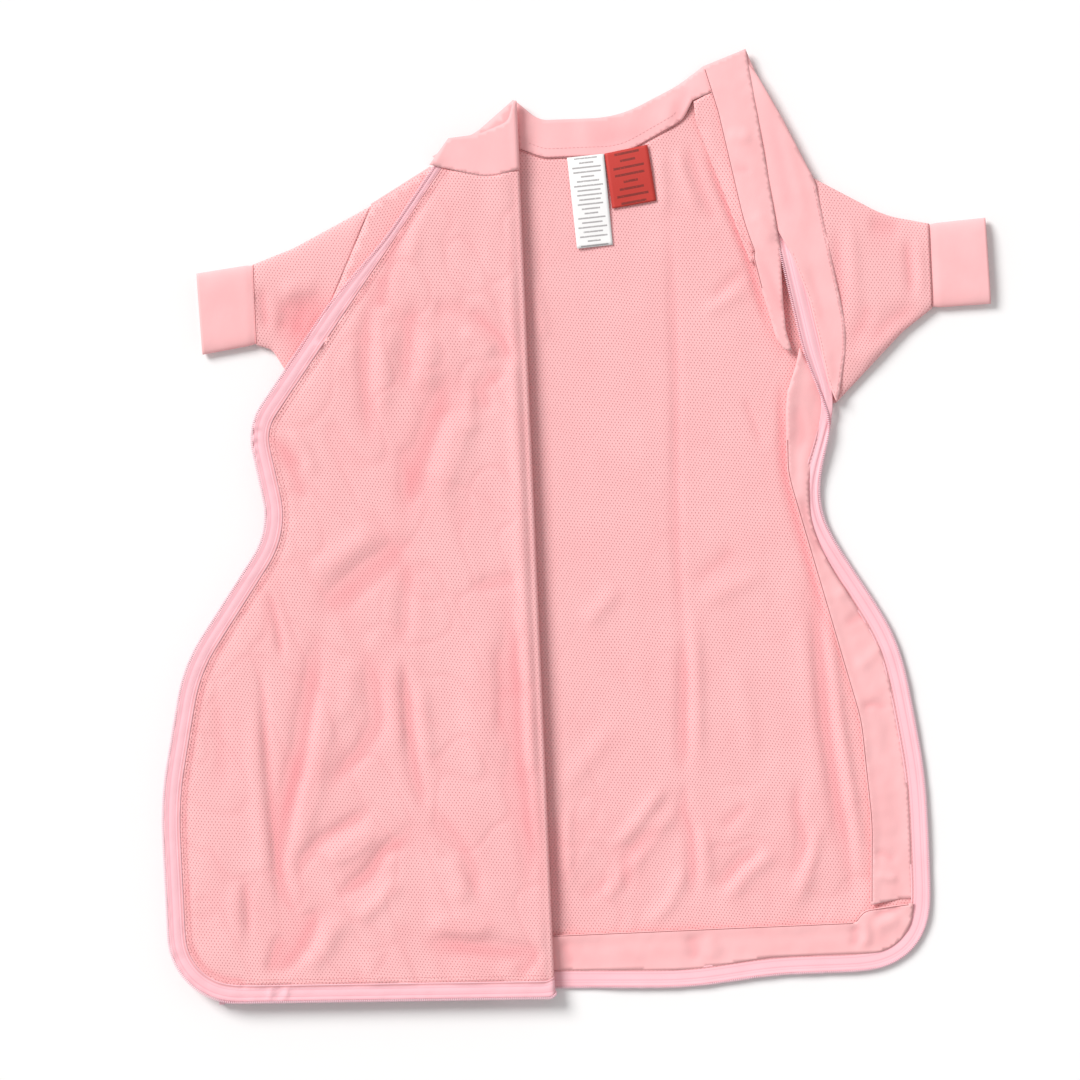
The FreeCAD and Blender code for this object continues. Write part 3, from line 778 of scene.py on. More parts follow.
yoke_edge = [(146, 361), (148, 345), (155, 300), (162, 250), (167, 226), (178, 204), (190, 169)]
yoke_edge = np.array(yoke_edge + [(195.5, 142), (201.5, 106), (206, 93)]) / 1000
yoke_armhole = between(rim("yoke_right"), (208, 88), (197, 264))
yoke_loop = np.r_[
    yoke_armhole[:1],
    even(yoke_armhole, 60)[2:-2] + (0.0011, 0),
    yoke_armhole[-1:],
    np.array([(0.1755, 0.3105), (0.1570, 0.3455)]),
    even(yoke_edge, 40),
]
yoke_spots, yoke_faces = cut(yoke_loop, 0.0026)
yoke_marks = [
    (-1.0, 6, [(162, 330), (170, 290), (176, 250), (180, 215)]),
    (1.0, 5, [(172, 318), (181, 280), (187, 250), (190, 220)]),
    (-0.7, 4, [(190, 200), (197, 170), (203, 140)]),
    (-0.7, 4, [(206, 130), (208, 112), (207, 96)]),
]
yoke_off, _ = reach(yoke_spots, yoke_edge)
over_tape = smooth(0.212, 0.232, yoke_spots[:, 1])
edge_off = np.abs(yoke_off)
yoke_high = 0.0091 + 0.0010 * (1 - over_tape) * smooth(0.014, 0.002, edge_off)
swell = 0.0012 * bell(edge_off - 0.014, 0.006)
yoke_high += over_tape * (swell - 0.0007 * smooth(0.009, 0.0, edge_off))
yoke_high += creases(yoke_spots, yoke_marks) + 0.00035 * rumple(yoke_spots, (14, 40), 31)
# Its colour is darkened by painted shade in the valleys of its creases.
yoke = sew(
    "yoke_cloth",
    np.c_[yoke_spots, yoke_high],
    yoke_faces,
    yoke_spots,
    plain_jersey,
    0.0010,
    painted_shade=creases(yoke_spots, yoke_marks, True),
)
stand_for(yoke, "plain_jersey", "shell", "yoke_right")
declare(yoke, yoke_spots, yoke_faces)

lining_spots, lining_faces = cut(rim("yoke_lining"), 0.0024)
free_edge = np.array([(108, 306), (120, 281), (128, 254), (139, 230), (148, 201)]) / 1000
lining_off, _ = reach(lining_spots, free_edge)
lining_high = 0.0072 - 0.0022 * bell(lining_off, 0.004) + 0.0003 * rumple(lining_spots, (8, 24), 32)
lining_at = np.c_[lining_spots, lining_high]
lining = sew("yoke_lining_cloth", lining_at, lining_faces, lining_spots, mesh_knit, 0.0010)
stand_for(lining, "mesh_knit", "shell", "yoke_lining")
declare(lining, lining_spots, lining_faces)


# ---- Sleeves and cuffs --------------------------------------------------------------------------
# Each short sleeve is a tube of the knit, pressed flat as it lies. Its cuff is a band of doubled
# jersey, sewn on with a turned seam; it is set in place here and is not folded back up.


def flat_tube(node, corners, low, high, finish, thick, marks, seed, name, rings=34, tuck=0.0):
    """A tube of cloth lying flat, its root tucked in by tuck.
    Corners are the ends of its root and its mouth: low, high, high, low."""
    loop = rim(node)
    root_low, root_high, mouth_high, mouth_low = corners
    around = 26
    share = (1 - np.cos(np.linspace(0, math.pi, around))) / 2
    root = between(loop, root_low, root_high)
    mouth = between(loop, mouth_low, mouth_high)
    upper = even(between(loop, root_high, mouth_high), rings)
    under = even(between(loop, root_low, mouth_low), rings)

    def spread(line):
        fine = even(line, 200)
        return np.stack([np.interp(share, np.linspace(0, 1, 200), fine[:, k]) for k in (0, 1)], 1)

    root, mouth = spread(root), spread(mouth)
    u = np.linspace(0, 1, rings)[:, None, None]
    t = share[None, :, None]
    sheet = (1 - u) * root[None] + u * mouth[None] + (1 - t) * under[:, None] + t * upper[:, None]
    sheet = sheet - (1 - u) * ((1 - t) * root[0] + t * root[-1])
    sheet = sheet - u * ((1 - t) * mouth[0] + t * mouth[-1])
    ahead = sheet[-1].mean(0) - sheet[0].mean(0)
    near_root = smooth(0.12, 0, np.linspace(0, 1, rings))[:, None]
    sheet = sheet - (near_root * tuck)[:, :, None] * (ahead / np.linalg.norm(ahead))[None, None]
    heart = sheet.mean(1, keepdims=True)
    sheet = heart + (sheet - heart) * (1 - (0.03 if tuck else 0) * near_root[:, :, None])
    middle, half = (low + high) / 2, (high - low) / 2 * (1 - (0.28 if tuck else 0) * near_root)
    swell = (1 - np.abs(2 * share - 1) ** 5) ** 0.45
    flat = sheet.reshape(-1, 2)
    # Painted shade in the valleys of the marks, on the upper side of the tube only.
    shade = 1.6 * creases(flat, marks, True).reshape(rings, around)
    wave = 1.6 * creases(flat, marks) + 0.0004 * rumple(flat, (16, 34), seed)
    wave = wave.reshape(rings, around)
    up = middle + swell[None] * half + wave * np.minimum(1, swell * 1.2)[None]
    down = middle - swell[None] * half
    spots, chart, deep = [], [], []
    wide = np.linalg.norm(upper - under, axis=1).mean()
    for k in range(rings):
        for j in range(around):
            spots.append((*sheet[k, j], up[k, j]))
            deep.append(shade[k, j])
            chart.append(tuple(sheet[k, j]))
        for j in range(around - 2, 0, -1):
            spots.append((*sheet[k, j], down[k, j]))
            deep.append(0)
            chart.append(tuple(sheet[k, j]))
    size = 2 * around - 2
    faces = [
        (k * size + j, k * size + (j + 1) % size, (k + 1) * size + (j + 1) % size, (k + 1) * size + j)
        for k in range(rings - 1)
        for j in range(size)
    ]
    across = sheet[0, -1] - sheet[0, 0]
    out = sheet[-1, 0] - sheet[0, 0]
    if out[0] * across[1] - out[1] * across[0] > 0:
        faces = [f[::-1] for f in faces]
    piece = sew(name, spots, faces, chart, finish, thick, painted_shade=np.array(deep))
    length = float(run((upper + under) / 2))
    return piece, (2 * wide, length)


sleeve_right_marks = [
    (-0.9, 5, [(214, 226), (214, 190), (216, 150)]),
    (0.8, 5, [(224, 236), (226, 200), (226, 160)]),
    (-0.9, 4, [(268, 216), (270, 190), (270, 164)]),
    (0.8, 4, [(276, 216), (278, 190), (278, 166)]),
    (-0.8, 7, [(232, 128), (254, 150), (278, 166)]),
    (0.8, 7, [(226, 112), (246, 134), (266, 148)]),
    (-0.9, 6, [(216, 128), (230, 146), (240, 168)]),
    (-0.8, 9, [(236, 226), (252, 222), (266, 220)]),
]
sleeve_left_marks = [
    (-1.0, 5, [(-236, 200), (-234, 180), (-232, 160)]),
    (-1.0, 6, [(-226, 176), (-212, 182), (-196, 178)]),
    (0.9, 6, [(-222, 190), (-206, 196), (-190, 192)]),
    (-0.9, 5, [(-228, 164), (-214, 170), (-200, 160)]),
    (-1.6, 10, [(-204, 128), (-196, 150), (-180, 178)]),
    (-1.2, 12, [(-222, 146), (-206, 170), (-184, 196)]),
    (-0.8, 4, [(-150, 250), (-156, 226), (-164, 204)]),
]
sleeve_left, flat_left = flat_tube(
    "sleeve_left",
    [(-212, 118), (-147, 257), (-241.6, 215), (-241.6, 152.5)],
    0.0006, 0.0090, mesh_knit, 0.0008, sleeve_left_marks, 41, "sleeve_left_cloth",
)
sleeve_right, flat_right = flat_tube(
    "sleeve_right",
    [(208, 88), (197, 264), (286.1, 224.3), (286.1, 158.6)],
    0.0006, 0.0090, mesh_knit, 0.0008, sleeve_right_marks, 42, "sleeve_right_cloth",
)
sleeves = ((sleeve_left, "sleeve_left", flat_left), (sleeve_right, "sleeve_right", flat_right))
for piece, node, size in sleeves:
    stand_for(piece, "mesh_knit", "shell", node)

cuff_left, flat_left = flat_tube(
    "cuff_left",
    [(-242.4, 152.5), (-242.4, 215), (-285.5, 210), (-283.5, 146.6)],
    0.0006, 0.0094, plain_jersey, 0.0014, [], 43, "cuff_left_cloth", 24, 0.0022,
)
cuff_right, flat_right = flat_tube(
    "cuff_right",
    [(286.9, 158.6), (286.9, 224.3), (330, 227), (331.5, 159.8)],
    0.0006, 0.0094, plain_jersey, 0.0014, [], 44, "cuff_right_cloth", 24, 0.0022,
)
for piece, node, size, start, end in (
    (cuff_left, "cuff_left", flat_left, -0.2426, -0.2530),
    (cuff_right, "cuff_right", flat_right, 0.2871, 0.2975),
):
    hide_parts(node)
    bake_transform(piece)


# ---- Zip tapes ----------------------------------------------------------------------------------
# Two woven tapes, 12 mm of each outside its seam. They are a cooler, lilac pink, sewn down with one
# row of thread, and pucker where the seam turns.


def woven_tape(name, light, dark, seam):
    """Zip tape: fine ribs along its length, and a slight groove where it is sewn."""
    f = Finish(name)
    uv, u, v = f.chart()
    ribs = f.sum("SINE", f.sum("MULTIPLY", v, 2 * math.pi / 0.0011))
    weave = f.sum("SINE", f.sum("MULTIPLY", u, 2 * math.pi / 0.0010))
    cloud = f.patches(uv, 0.02, 3)
    groove = f.range(f.sum("ABSOLUTE", f.sum("SUBTRACT", v, seam)), 0.0003, 0.0011)
    base = f.mix(cloud, light, dark)
    for place, wide in ((0.0042, 0.0004), (0.0096, 0.0006), (0.0118, 0.0003)):
        stripe = f.range(f.sum("ABSOLUTE", f.sum("SUBTRACT", v, place)), wide * 0.3, wide, 0.55, 0.0)
        base = f.mix(stripe, base, (0.90, 0.38, 0.45))
    # The colour darkens in the groove where the tape is sewn: painted shade in the groove.
    f.set(Base_Color=f.mix(groove, (0.86, 0.40, 0.43), base), Roughness=0.7)
    f.set(Sheen_Weight=0.25, Sheen_Roughness=0.35, Specular_IOR_Level=0.25)
    fine = f.bump(f.sum("MULTIPLY", ribs, weave), 0.00005)
    f.bump(groove, 0.00025, fine)
    return f.material


zip_tape = woven_tape("zip_tape", (0.985, 0.575, 0.635), (0.965, 0.53, 0.59), 0.0016)


def long_sides(node):
    """The two long sides of a strip, from its neck end to its hem end: the first has the sewn edge."""
    loop = rim(node)
    before, after = loop - np.roll(loop, 1, 0), np.roll(loop, -1, 0) - loop
    bend = np.abs(np.arctan2(np.cross(before, after), (before * after).sum(1)))
    corners = sorted(np.argsort(bend)[-4:])
    sides = [
        loop[[k % len(loop) for k in range(a, (b if b > a else b + len(loop)) + 1)]]
        for a, b in zip(corners, corners[1:] + corners[:1])
    ]
    sides.sort(key=lambda line: -run(line))
    one, two = sides[0], sides[1][::-1]
    level = abs(one[0][1] - one[-1][1]) < 0.03
    if one[0][1] < one[-1][1] - 0.02 or (level and one[0][0] < one[-1][0]):
        one, two = one[::-1], two[::-1]
    return one, two


def woven(rows, across):
    """The faces of a sheet of spots laid out in rows."""
    return [
        (k * across + j, (k + 1) * across + j, (k + 1) * across + j + 1, k * across + j + 1)
        for k in range(rows - 1)
        for j in range(across - 1)
    ]


def ribbon(inner, outer, step, across):
    """Stations along a strip: its spots, its chart in metres and its faces."""
    count = int(run(inner) / step)
    inner, outer = even(inner, count), even(outer, count)
    wide = np.linalg.norm(outer - inner, axis=1).mean()
    share = np.linspace(0, 1, across)
    t = share[None, :, None]
    spots = (inner[:, None] * (1 - t) + outer[:, None] * t).reshape(-1, 2)
    chart = np.array([(k * step, t * wide) for k in range(count) for t in share])
    faces = woven(count, across)
    a, b, c = spots[faces[0][0]], spots[faces[0][1]], spots[faces[0][2]]
    if (b[0] - a[0]) * (c[1] - a[1]) - (b[1] - a[1]) * (c[0] - a[0]) < 0:
        faces = [f[::-1] for f in faces]
    return spots, chart, faces


def sewn_and_free(node):
    """Sewn edge and free edge of a tape, put in order by which one is nearer to its coil."""
    one, two = long_sides(node)
    coil = rim(node.replace("tape", "teeth"))
    near = [np.abs(reach(line[::6], coil)[0]).mean() for line in (one, two)]
    return (two, one) if near[0] < near[1] else (one, two)


def part_way(inner, outer, share, count):
    """A line between two others, a share of the way across."""
    return even(inner, count) * (1 - share) + even(outer, count) * share


def drawn_in(inner, outer, narrow, keep=1.0):
    """The free edge of a tape where the tape is turned on edge: narrow gives the share taken off."""
    return inner + (outer - inner) * (keep - np.asarray(narrow))[:, None]


side_inner, side_outer = sewn_and_free("zip_tape_back")
side_inner, side_outer = even(side_inner, 500), even(side_outer, 500)
side_inner = part_way(side_inner, side_outer, 0.24, 500)
yoke_inner, yoke_outer = sewn_and_free("zip_tape_yoke")
yoke_inner, yoke_outer = even(yoke_inner, 120), even(yoke_outer, 120)
left_arm = [(194.5, 105), (198, 93), (197.5, 82), (192.5, 66), (186, 48), (180.5, 34)]
right_arm = [(204.5, 101), (207, 92), (205.5, 80), (200.5, 62), (195.5, 46), (191, 31)]


def joined(upper, above, arm, lower, below):
    """One edge of the tape: above the arm, round it in mm, and below it."""
    return np.r_[upper[upper[:, 1] > above], np.array(arm) / 1000, lower[lower[:, 1] < below]]


tape_left = joined(yoke_outer, 0.113, left_arm, side_inner, 0.022)
tape_right = joined(yoke_inner, 0.110, right_arm, side_outer, 0.016)


def eased(line, rounds=3):
    """A line with its corners softened."""
    line = even(line, 700)
    for _ in range(rounds):
        line[6:-6] = (line[:-12] + 2 * line[6:-6] + line[12:]) / 4
    return line


tape_left, tape_right = eased(tape_left), eased(tape_right)
tape_spots, tape_chart, tape_faces = ribbon(tape_left, tape_right, 0.0035, 13)
share = np.tile(np.linspace(0, 1, 13), len(tape_spots) // 13)
turned_round = smooth(0.060, 0.108, tape_spots[:, 1])
free = share * (1 - turned_round) + (1 - share) * turned_round
tape_chart[:, 1] = free * tape_chart[:, 1].max()


def rolled(free, deep):
    """The section across a tape: a rolled free edge, a groove, a low ridge and the sewn edge."""
    form = 0.9 * bell(free - 0.95, 0.09) - 0.7 * bell(free - 0.74, 0.08)
    return deep * (form + 0.5 * bell(free - 0.52, 0.1) - 0.6 * bell(free - 0.2, 0.1))


def side_tape_high(spots, free):
    """The zip lies on the floor side of the bag at the hem and climbs to the yoke at the underarm."""
    y = spots[:, 1]
    shown = smooth(-0.006, 0.015, spots[:, 0])
    raised = 0.0004 + 0.0005 * rumple(spots, (12, 12), 51) * free + 0.0010 * smooth(0.3, 1, free)
    low = 0.0024 + raised * shown
    high = 0.0093 + 0.0003 * rumple(spots, (12, 12), 53) - 0.0026 * smooth(0.200, 0.222, y)
    climb = smooth(0.0, 0.112, y)
    section = rolled(free, 0.0008 * smooth(-0.26, 0.06, y) + 0.0002)
    return low * (1 - climb) + high * climb + section * shown


tape_back = sew(
    "zip_tape_side_cloth",
    np.c_[tape_spots, side_tape_high(tape_spots, free)],
    tape_faces,
    tape_chart,
    zip_tape,
    0.0006,
)
stand_for(tape_back, "zip_tape", "shell", "zip_tape_back", "zip_tape_yoke")


def round_the_fold(turned_line, fixed_line):
    """A line that runs down the turned half, round the fold and on along the other half."""
    return np.r_[over_fold(turned_line, 1), over_fold(fixed_line, -1)]


flap_inner, flap_outer = sewn_and_free("zip_tape_flap")
front_inner, front_outer = sewn_and_free("zip_tape_front")
tape_inner = even(round_the_fold(flap_inner, front_inner), 700)
tape_outer = even(round_the_fold(flap_outer, front_outer), 700)
below_band = (tape_inner[:, 1] < 0.2845) | (tape_inner[:, 0] < 0)
tape_inner, tape_outer = even(tape_inner[below_band], 700), even(tape_outer[below_band], 700)
on_turned = tape_inner[:, 0] > 0
turned_edge = 0.42 * smooth(0.165, 0.235, tape_inner[:, 1]) * on_turned
tape_sewn = part_way(tape_inner, tape_outer, 0.30, 700)
tape_free = drawn_in(tape_inner, tape_outer, turned_edge)
flat_tape, tape_chart, tape_faces = ribbon(tape_sewn, tape_free, 0.0015, 11)
free = tape_chart[:, 1] / tape_chart[:, 1].max()
near = np.minimum(1, np.abs(flat_tape[:, 0]) / 0.004)
pucker_marks = [
    (0.9, 1.6, [(-249, 92), (-240, 86)]), (0.9, 1.6, [(-252, 82), (-242, 78)]),
    (0.9, 1.6, [(-253, 72), (-243, 69)]), (0.8, 1.5, [(-252, 63), (-242, 62)]),
    (-0.9, 1.6, [(-252, 77), (-242, 74)]), (-0.9, 1.6, [(-250, 87), (-241, 82)]),
    (0.7, 1.8, [(-240, -358), (-238, -346)]), (-0.7, 1.8, [(-246, -358), (-244, -346)]),
    (0.7, 1.8, [(-252, -358), (-251, -346)]), (0.7, 1.8, [(-196, 152), (-186, 146)]),
    (-0.7, 1.8, [(-192, 158), (-183, 151)]),
]
tape_at = laid(flat_tape)
in_corner = bell(np.linalg.norm(tape_at - np.array([-0.308, -0.335]), axis=1), 0.035)
tape_off = front_loft(flat_tape) * smooth(0.35, 0, free) + 0.0004
tape_off = tape_off + 0.0003 * near * smooth(0.1, 0.6, free)
rough = (0.0003 + 0.0004 * in_corner) * rumple(tape_at, (7, 7), 54)
tape_off = tape_off + rough * free * near * (flat_tape[:, 0] > 0)
tape_off = tape_off + np.where(flat_tape[:, 0] > 0.05, creases(tape_at, pucker_marks) * 1.3, 0)
tape_off = np.clip(tape_off + rolled(free, 0.0003) * near, 0.0002, 0.0024)
tape_front = sew(
    "zip_tape_front_cloth",
    turned(flat_tape[:, 0], flat_tape[:, 1], tape_off),
    [f[::-1] for f in tape_faces],
    tape_chart,
    zip_tape,
    0.0006,
    0.0,
)
stand_for(tape_front, "zip_tape", ("shell", "flap"), "zip_tape_flap", "zip_tape_front")


# ---- Zip guard ----------------------------------------------------------------------------------
# A smooth jersey facing behind the zip, sewn along it and free at its inner edge, where it lifts a
# little. It is folded to a point under the arm and tucked at the corner of the hem.


def guard(node, name, loop, free_line, base, lift, marks, seed, sink, climb=0.0):
    """A facing whose free edge lies at base and lifts by lift. Under the arm it climbs by climb.
    Its sewn edge sinks by sink: how deep, from how far and to how far from the free edge."""
    spots, faces = cut(loop, 0.0026)
    off = np.abs(reach(spots, np.array(free_line) / 1000)[0])
    high = base + lift * bell(off, 0.006) + 1.4 * creases(spots, marks)
    high = high + 0.0004 * rumple(spots, (22, 22), seed) + 0.0002 * rumple(spots, (7, 7), seed + 1)
    hidden = spots[:, 0] < -0.035
    high = np.where(hidden, np.minimum(high, 0.0036), np.maximum(high, base - 0.0008))
    high = np.where(hidden, high, high - sink[0] * smooth(sink[1], sink[2], off))
    high = high + climb * smooth(0.05, 0.115, spots[:, 1])
    # Painted shade in the valleys of the facing's creases.
    shade = creases(spots, marks, True) * 1.4
    piece = sew(name, np.c_[spots, high], faces, spots, plain_jersey, 0.0009, painted_shade=shade)
    stand_for(piece, "plain_jersey", "shell", node)
    declare(piece, spots, faces)
    return piece


def to_tape(loop, free_line):
    """A guard's outline with its sewn edge brought out to the tape."""
    off, along = reach(loop, guard_seam)
    from_free = np.abs(reach(loop, np.array(free_line) / 1000)[0])
    target = guard_seam[np.round(along * (len(guard_seam) - 1)).astype(int)]
    share = (np.abs(off) < 0.009) * (np.abs(off) < from_free) * smooth(0.024, -0.05, loop[:, 1])
    return loop + (target - loop) * share[:, None]


guard_seam = even(part_way(side_inner, side_outer, 0.06, 500), 900)
guard_side_marks = [
    (-0.9, 3, [(216, -150), (228, -148), (240, -152)]),
    (0.8, 5, [(212, -122), (226, -112), (236, -100)]),
    (-0.9, 4, [(206, -86), (218, -80), (228, -74)]),
    (0.8, 5, [(198, -66), (210, -58), (220, -54)]),
    (-1.0, 3, [(222, -262), (232, -266), (240, -272)]),
    (0.9, 3, [(222, -280), (232, -284), (242, -284)]),
    (-0.8, 4, [(178, 92), (180, 70), (178, 48)]),
    (0.9, 5, [(184, 60), (180, 30), (178, 4)]),
    (-0.9, 4, [(176, 20), (184, -10), (194, -36)]),
]
side_loop = stepped(rim("zip_guard_side"), 0.003)
free_side = np.array([(181, 132), (177.5, 118), (170, 98), (168.5, 84), (168, 60), (167.5, 38)]) / 1000
sewn_side = np.array([(184, 28), (192, 55), (199, 76), (198.5, 92), (196, 104), (188.5, 119)]) / 1000
start = int(np.argmin(np.linalg.norm(side_loop - (0.166, 0.030), axis=1)))
side_loop = np.roll(side_loop, -start, 0)
if side_loop[5, 1] > side_loop[0, 1]:
    side_loop = np.roll(side_loop[::-1], 1, 0)
side_loop = np.r_[free_side, side_loop[side_loop[:, 1] < 0.026], sewn_side]
side_free = [(181, 132), (177, 118), (170, 92), (167, 60), (168, 30)]
side_free += [(188, -50), (214, -152), (220, -238), (218, -304)]
guard_side = guard(
    "zip_guard_side",
    "zip_guard_side_cloth",
    np.r_[free_side, to_tape(side_loop[len(free_side) : -len(sewn_side)], side_free), sewn_side],
    side_free,
    base=0.0044,
    lift=0.0018,
    marks=guard_side_marks,
    seed=61,
    sink=(0.0016, 0.010, 0.026),
    climb=0.0030,
)
guard_hem_marks = [
    (-1.0, 4, [(204, -318), (206, -328), (203, -338)]),
    (1.1, 4, [(212, -314), (214, -326), (213, -338)]),
    (-1.2, 3, [(218, -312), (230, -310), (246, -306)]),
    (1.0, 5, [(218, -322), (230, -318), (242, -314)]),
    (-0.9, 5, [(76, -320), (80, -332), (78, -344)]),
    (0.8, 6, [(90, -320), (94, -332), (92, -344)]),
    (-0.8, 5, [(-24, -318), (-20, -332), (-16, -344)]),
]
hem_free = [(-30, -318), (80, -317), (205, -317), (222, -308), (248, -304)]
hem_loop = to_tape(stepped(rim("zip_guard_hem"), 0.003), hem_free)
guard_hem = guard(
    "zip_guard_hem",
    "zip_guard_hem_cloth",
    hem_loop,
    hem_free,
    base=0.0040,
    lift=0.0014,
    marks=guard_hem_marks,
    seed=63,
    sink=(0.0010, 0.012, 0.026),
)
guard_neck_marks = [
    (-0.9, 3, [(134, 276), (142, 272), (150, 272)]),
    (0.8, 5, [(130, 300), (142, 296), (152, 300)]),
    (0.9, 6, [(148, 240), (158, 226), (166, 214)]),
    (-0.9, 5, [(150, 210), (162, 180), (172, 150)]),
]
neck_loop = stepped(rim("zip_guard_neck"), 0.003)
neck_loop = from_gap(neck_loop[neck_loop[:, 1] > 0.208])
neck_point = [(148, 204), (153, 180), (159.5, 155), (163, 140)]
neck_point = np.array(neck_point + [(169, 131), (175, 130), (171, 146), (169.5, 175)]) / 1000
neck_loop = np.r_[neck_loop, neck_point if neck_loop[-1, 0] < neck_loop[0, 0] else neck_point[::-1]]
guard_neck = guard(
    "zip_guard_neck",
    "zip_guard_neck_cloth",
    neck_loop,
    [(115, 353), (124, 320), (133, 270), (142, 228), (160, 170), (177, 128)],
    base=0.0100,
    lift=-0.0006,
    marks=guard_neck_marks,
    seed=65,
    sink=(0.0008, 0.014, 0.028),
)


# ---- Soft sides ---------------------------------------------------------------------------------
# Where front and back are sewn together, the cloth turns round in a soft edge: down the left side
# and along both shoulders. The seam allowance is inside.


def soft_side(node, name, line, bulge, low, high, finish):
    """A rounded edge of cloth between two layers, along a line, swelling to its left by bulge."""
    line = even(np.array(line, float), max(12, int(len(line) * 2)))
    ahead = np.gradient(line, axis=0)
    out = np.c_[-ahead[:, 1], ahead[:, 0]] / np.linalg.norm(ahead, axis=1)[:, None]
    turns = np.linspace(-math.pi / 2, math.pi / 2, 9)
    spots, chart = [], []
    for k, (p, n) in enumerate(zip(line, out)):
        for a in turns:
            q = p + n * bulge * math.cos(a)
            spots.append((q[0], q[1], (low + high) / 2 + (high - low) / 2 * math.sin(a)))
            chart.append((p[0] + p[1], a * 0.004))
    piece = sew(name, spots, woven(len(line), len(turns)), chart, finish, 0.0008, 1.0)
    stand_for(piece, "mesh_knit", "shell", node)
    length = float(run(line))


side_one, side_two = long_sides("side_seam_left")
side_line = side_one if side_one[:, 0].mean() < side_two[:, 0].mean() else side_two
side_line = even(side_line, 120)
soft_side("side_seam_left", "side_left_cloth", side_line[::-1], 0.0018, 0.0012, 0.0086, mesh_knit)
shoulder = even(np.array([(-0.0995, 0.2842), (-0.1470, 0.2570)]), 20)
soft_side("shoulder_seam_left", "shoulder_left_cloth", shoulder[::-1], 0.0016, 0.0012, 0.0088, mesh_knit)
shoulder = even(np.array([(0.1572, 0.3446), (0.1970, 0.2640)]), 24)
soft_side(
    "shoulder_seam_right", "shoulder_right_cloth", shoulder[::-1], 0.0012, 0.0012, 0.0090, plain_jersey
)


# ---- Labels -------------------------------------------------------------------------------------
# A white printed care label and a red satin label, sewn in under the neckband. Their print is
# nothing but plain bars.


def printed_satin(name, cloth, ink, bar, gap, share):
    """Smooth satin with rows of plain printed bars."""
    f = Finish(name)
    uv, u, v = f.chart()
    row = f.sum("DIVIDE", v, bar + gap)
    in_row = f.range(f.sum("PINGPONG", row, 0.5), 0.30, 0.36)
    steps = f.sum("FLOOR", row)
    across = f.sum("ABSOLUTE", f.sum("SUBTRACT", u, 0.5))
    ragged = f.node("ShaderNodeTexWhiteNoise", noise_dimensions="1D")
    f.tree.links.new(steps, ragged.inputs["W"])
    reach_of = f.range(ragged.outputs[0], 0, 1, share * 0.45, share)
    bar_here = f.sum("MULTIPLY", in_row, f.sum("LESS_THAN", across, reach_of))
    words = f.sum("GREATER_THAN", f.patches(uv, 0.03, 2), 0.36)
    print_on = f.sum("MULTIPLY", bar_here, words)
    f.set(Base_Color=f.mix(print_on, cloth, ink), Roughness=0.5)
    f.set(Sheen_Weight=0.1, Specular_IOR_Level=0.35)
    f.bump(f.patches(uv, 0.01, 3), 0.0001)
    return f.material


def sew_label(node, name, finish, slot, lift, seed):
    """A small label. Its chart runs from 0 to 1 across, and in label widths down from the band."""
    loop = rim(node)
    low, high = loop.min(0), loop.max(0)
    corners = [loop[np.argmin(loop @ np.array(d))] for d in ((1, -1), (-1, -1), (-1, 1), (1, 1))]
    top_left, top_right, foot_right, foot_left = corners
    across, down = 14, 26
    spots, chart = [], []
    wide, long = np.linalg.norm(top_right - top_left), np.linalg.norm(foot_left - top_left)
    for k in range(down):
        for j in range(across):
            s, t = j / (across - 1), k / (down - 1)
            top, foot = top_left * (1 - s) + top_right * s, foot_left * (1 - s) + foot_right * s
            p = top * (1 - t) + foot * t
            bow = lift * math.sin(math.pi * min(1, t * 1.1)) + 0.0004 * math.sin(3 * s + seed) * t
            spots.append((p[0], p[1], 0.0036 + max(0, bow) + 0.0006 * (1 - t) * (s - 0.5)))
            chart.append((s, t * long / wide))
    piece = sew(name, spots, woven(down, across), chart, finish, 0.0003)
    stand_for(piece, slot, "shell", node)


white_satin = printed_satin("white_satin", (0.93, 0.93, 0.93), (0.42, 0.40, 0.41), 0.05, 0.075, 0.40)
red_satin = printed_satin("red_satin", (0.56, 0.045, 0.035), (0.24, 0.03, 0.025), 0.08, 0.08, 0.36)
sew_label("care_label", "care_label_cloth", white_satin, "white_label", 0.0008, 1)
sew_label("size_label", "size_label_cloth", red_satin, "red_label", 0.0009, 2)


# ---- Zip coil -----------------------------------------------------------------------------------
# A row of nylon turns on the free edge of each tape, about 1.5 mm apart.


def nylon(name, colour):
    f = Finish(name)
    where = f.node("ShaderNodeTexCoord").outputs["Object"]
    shade = f.mix(f.patches(where, 0.01), colour, tuple(c * 0.9 for c in colour))
    f.set(Base_Color=shade, Roughness=0.38)
    f.bump(f.patches(where, 0.0006), 0.00003)
    return f.material


coil_nylon = nylon("coil_nylon", (0.95, 0.60, 0.68))


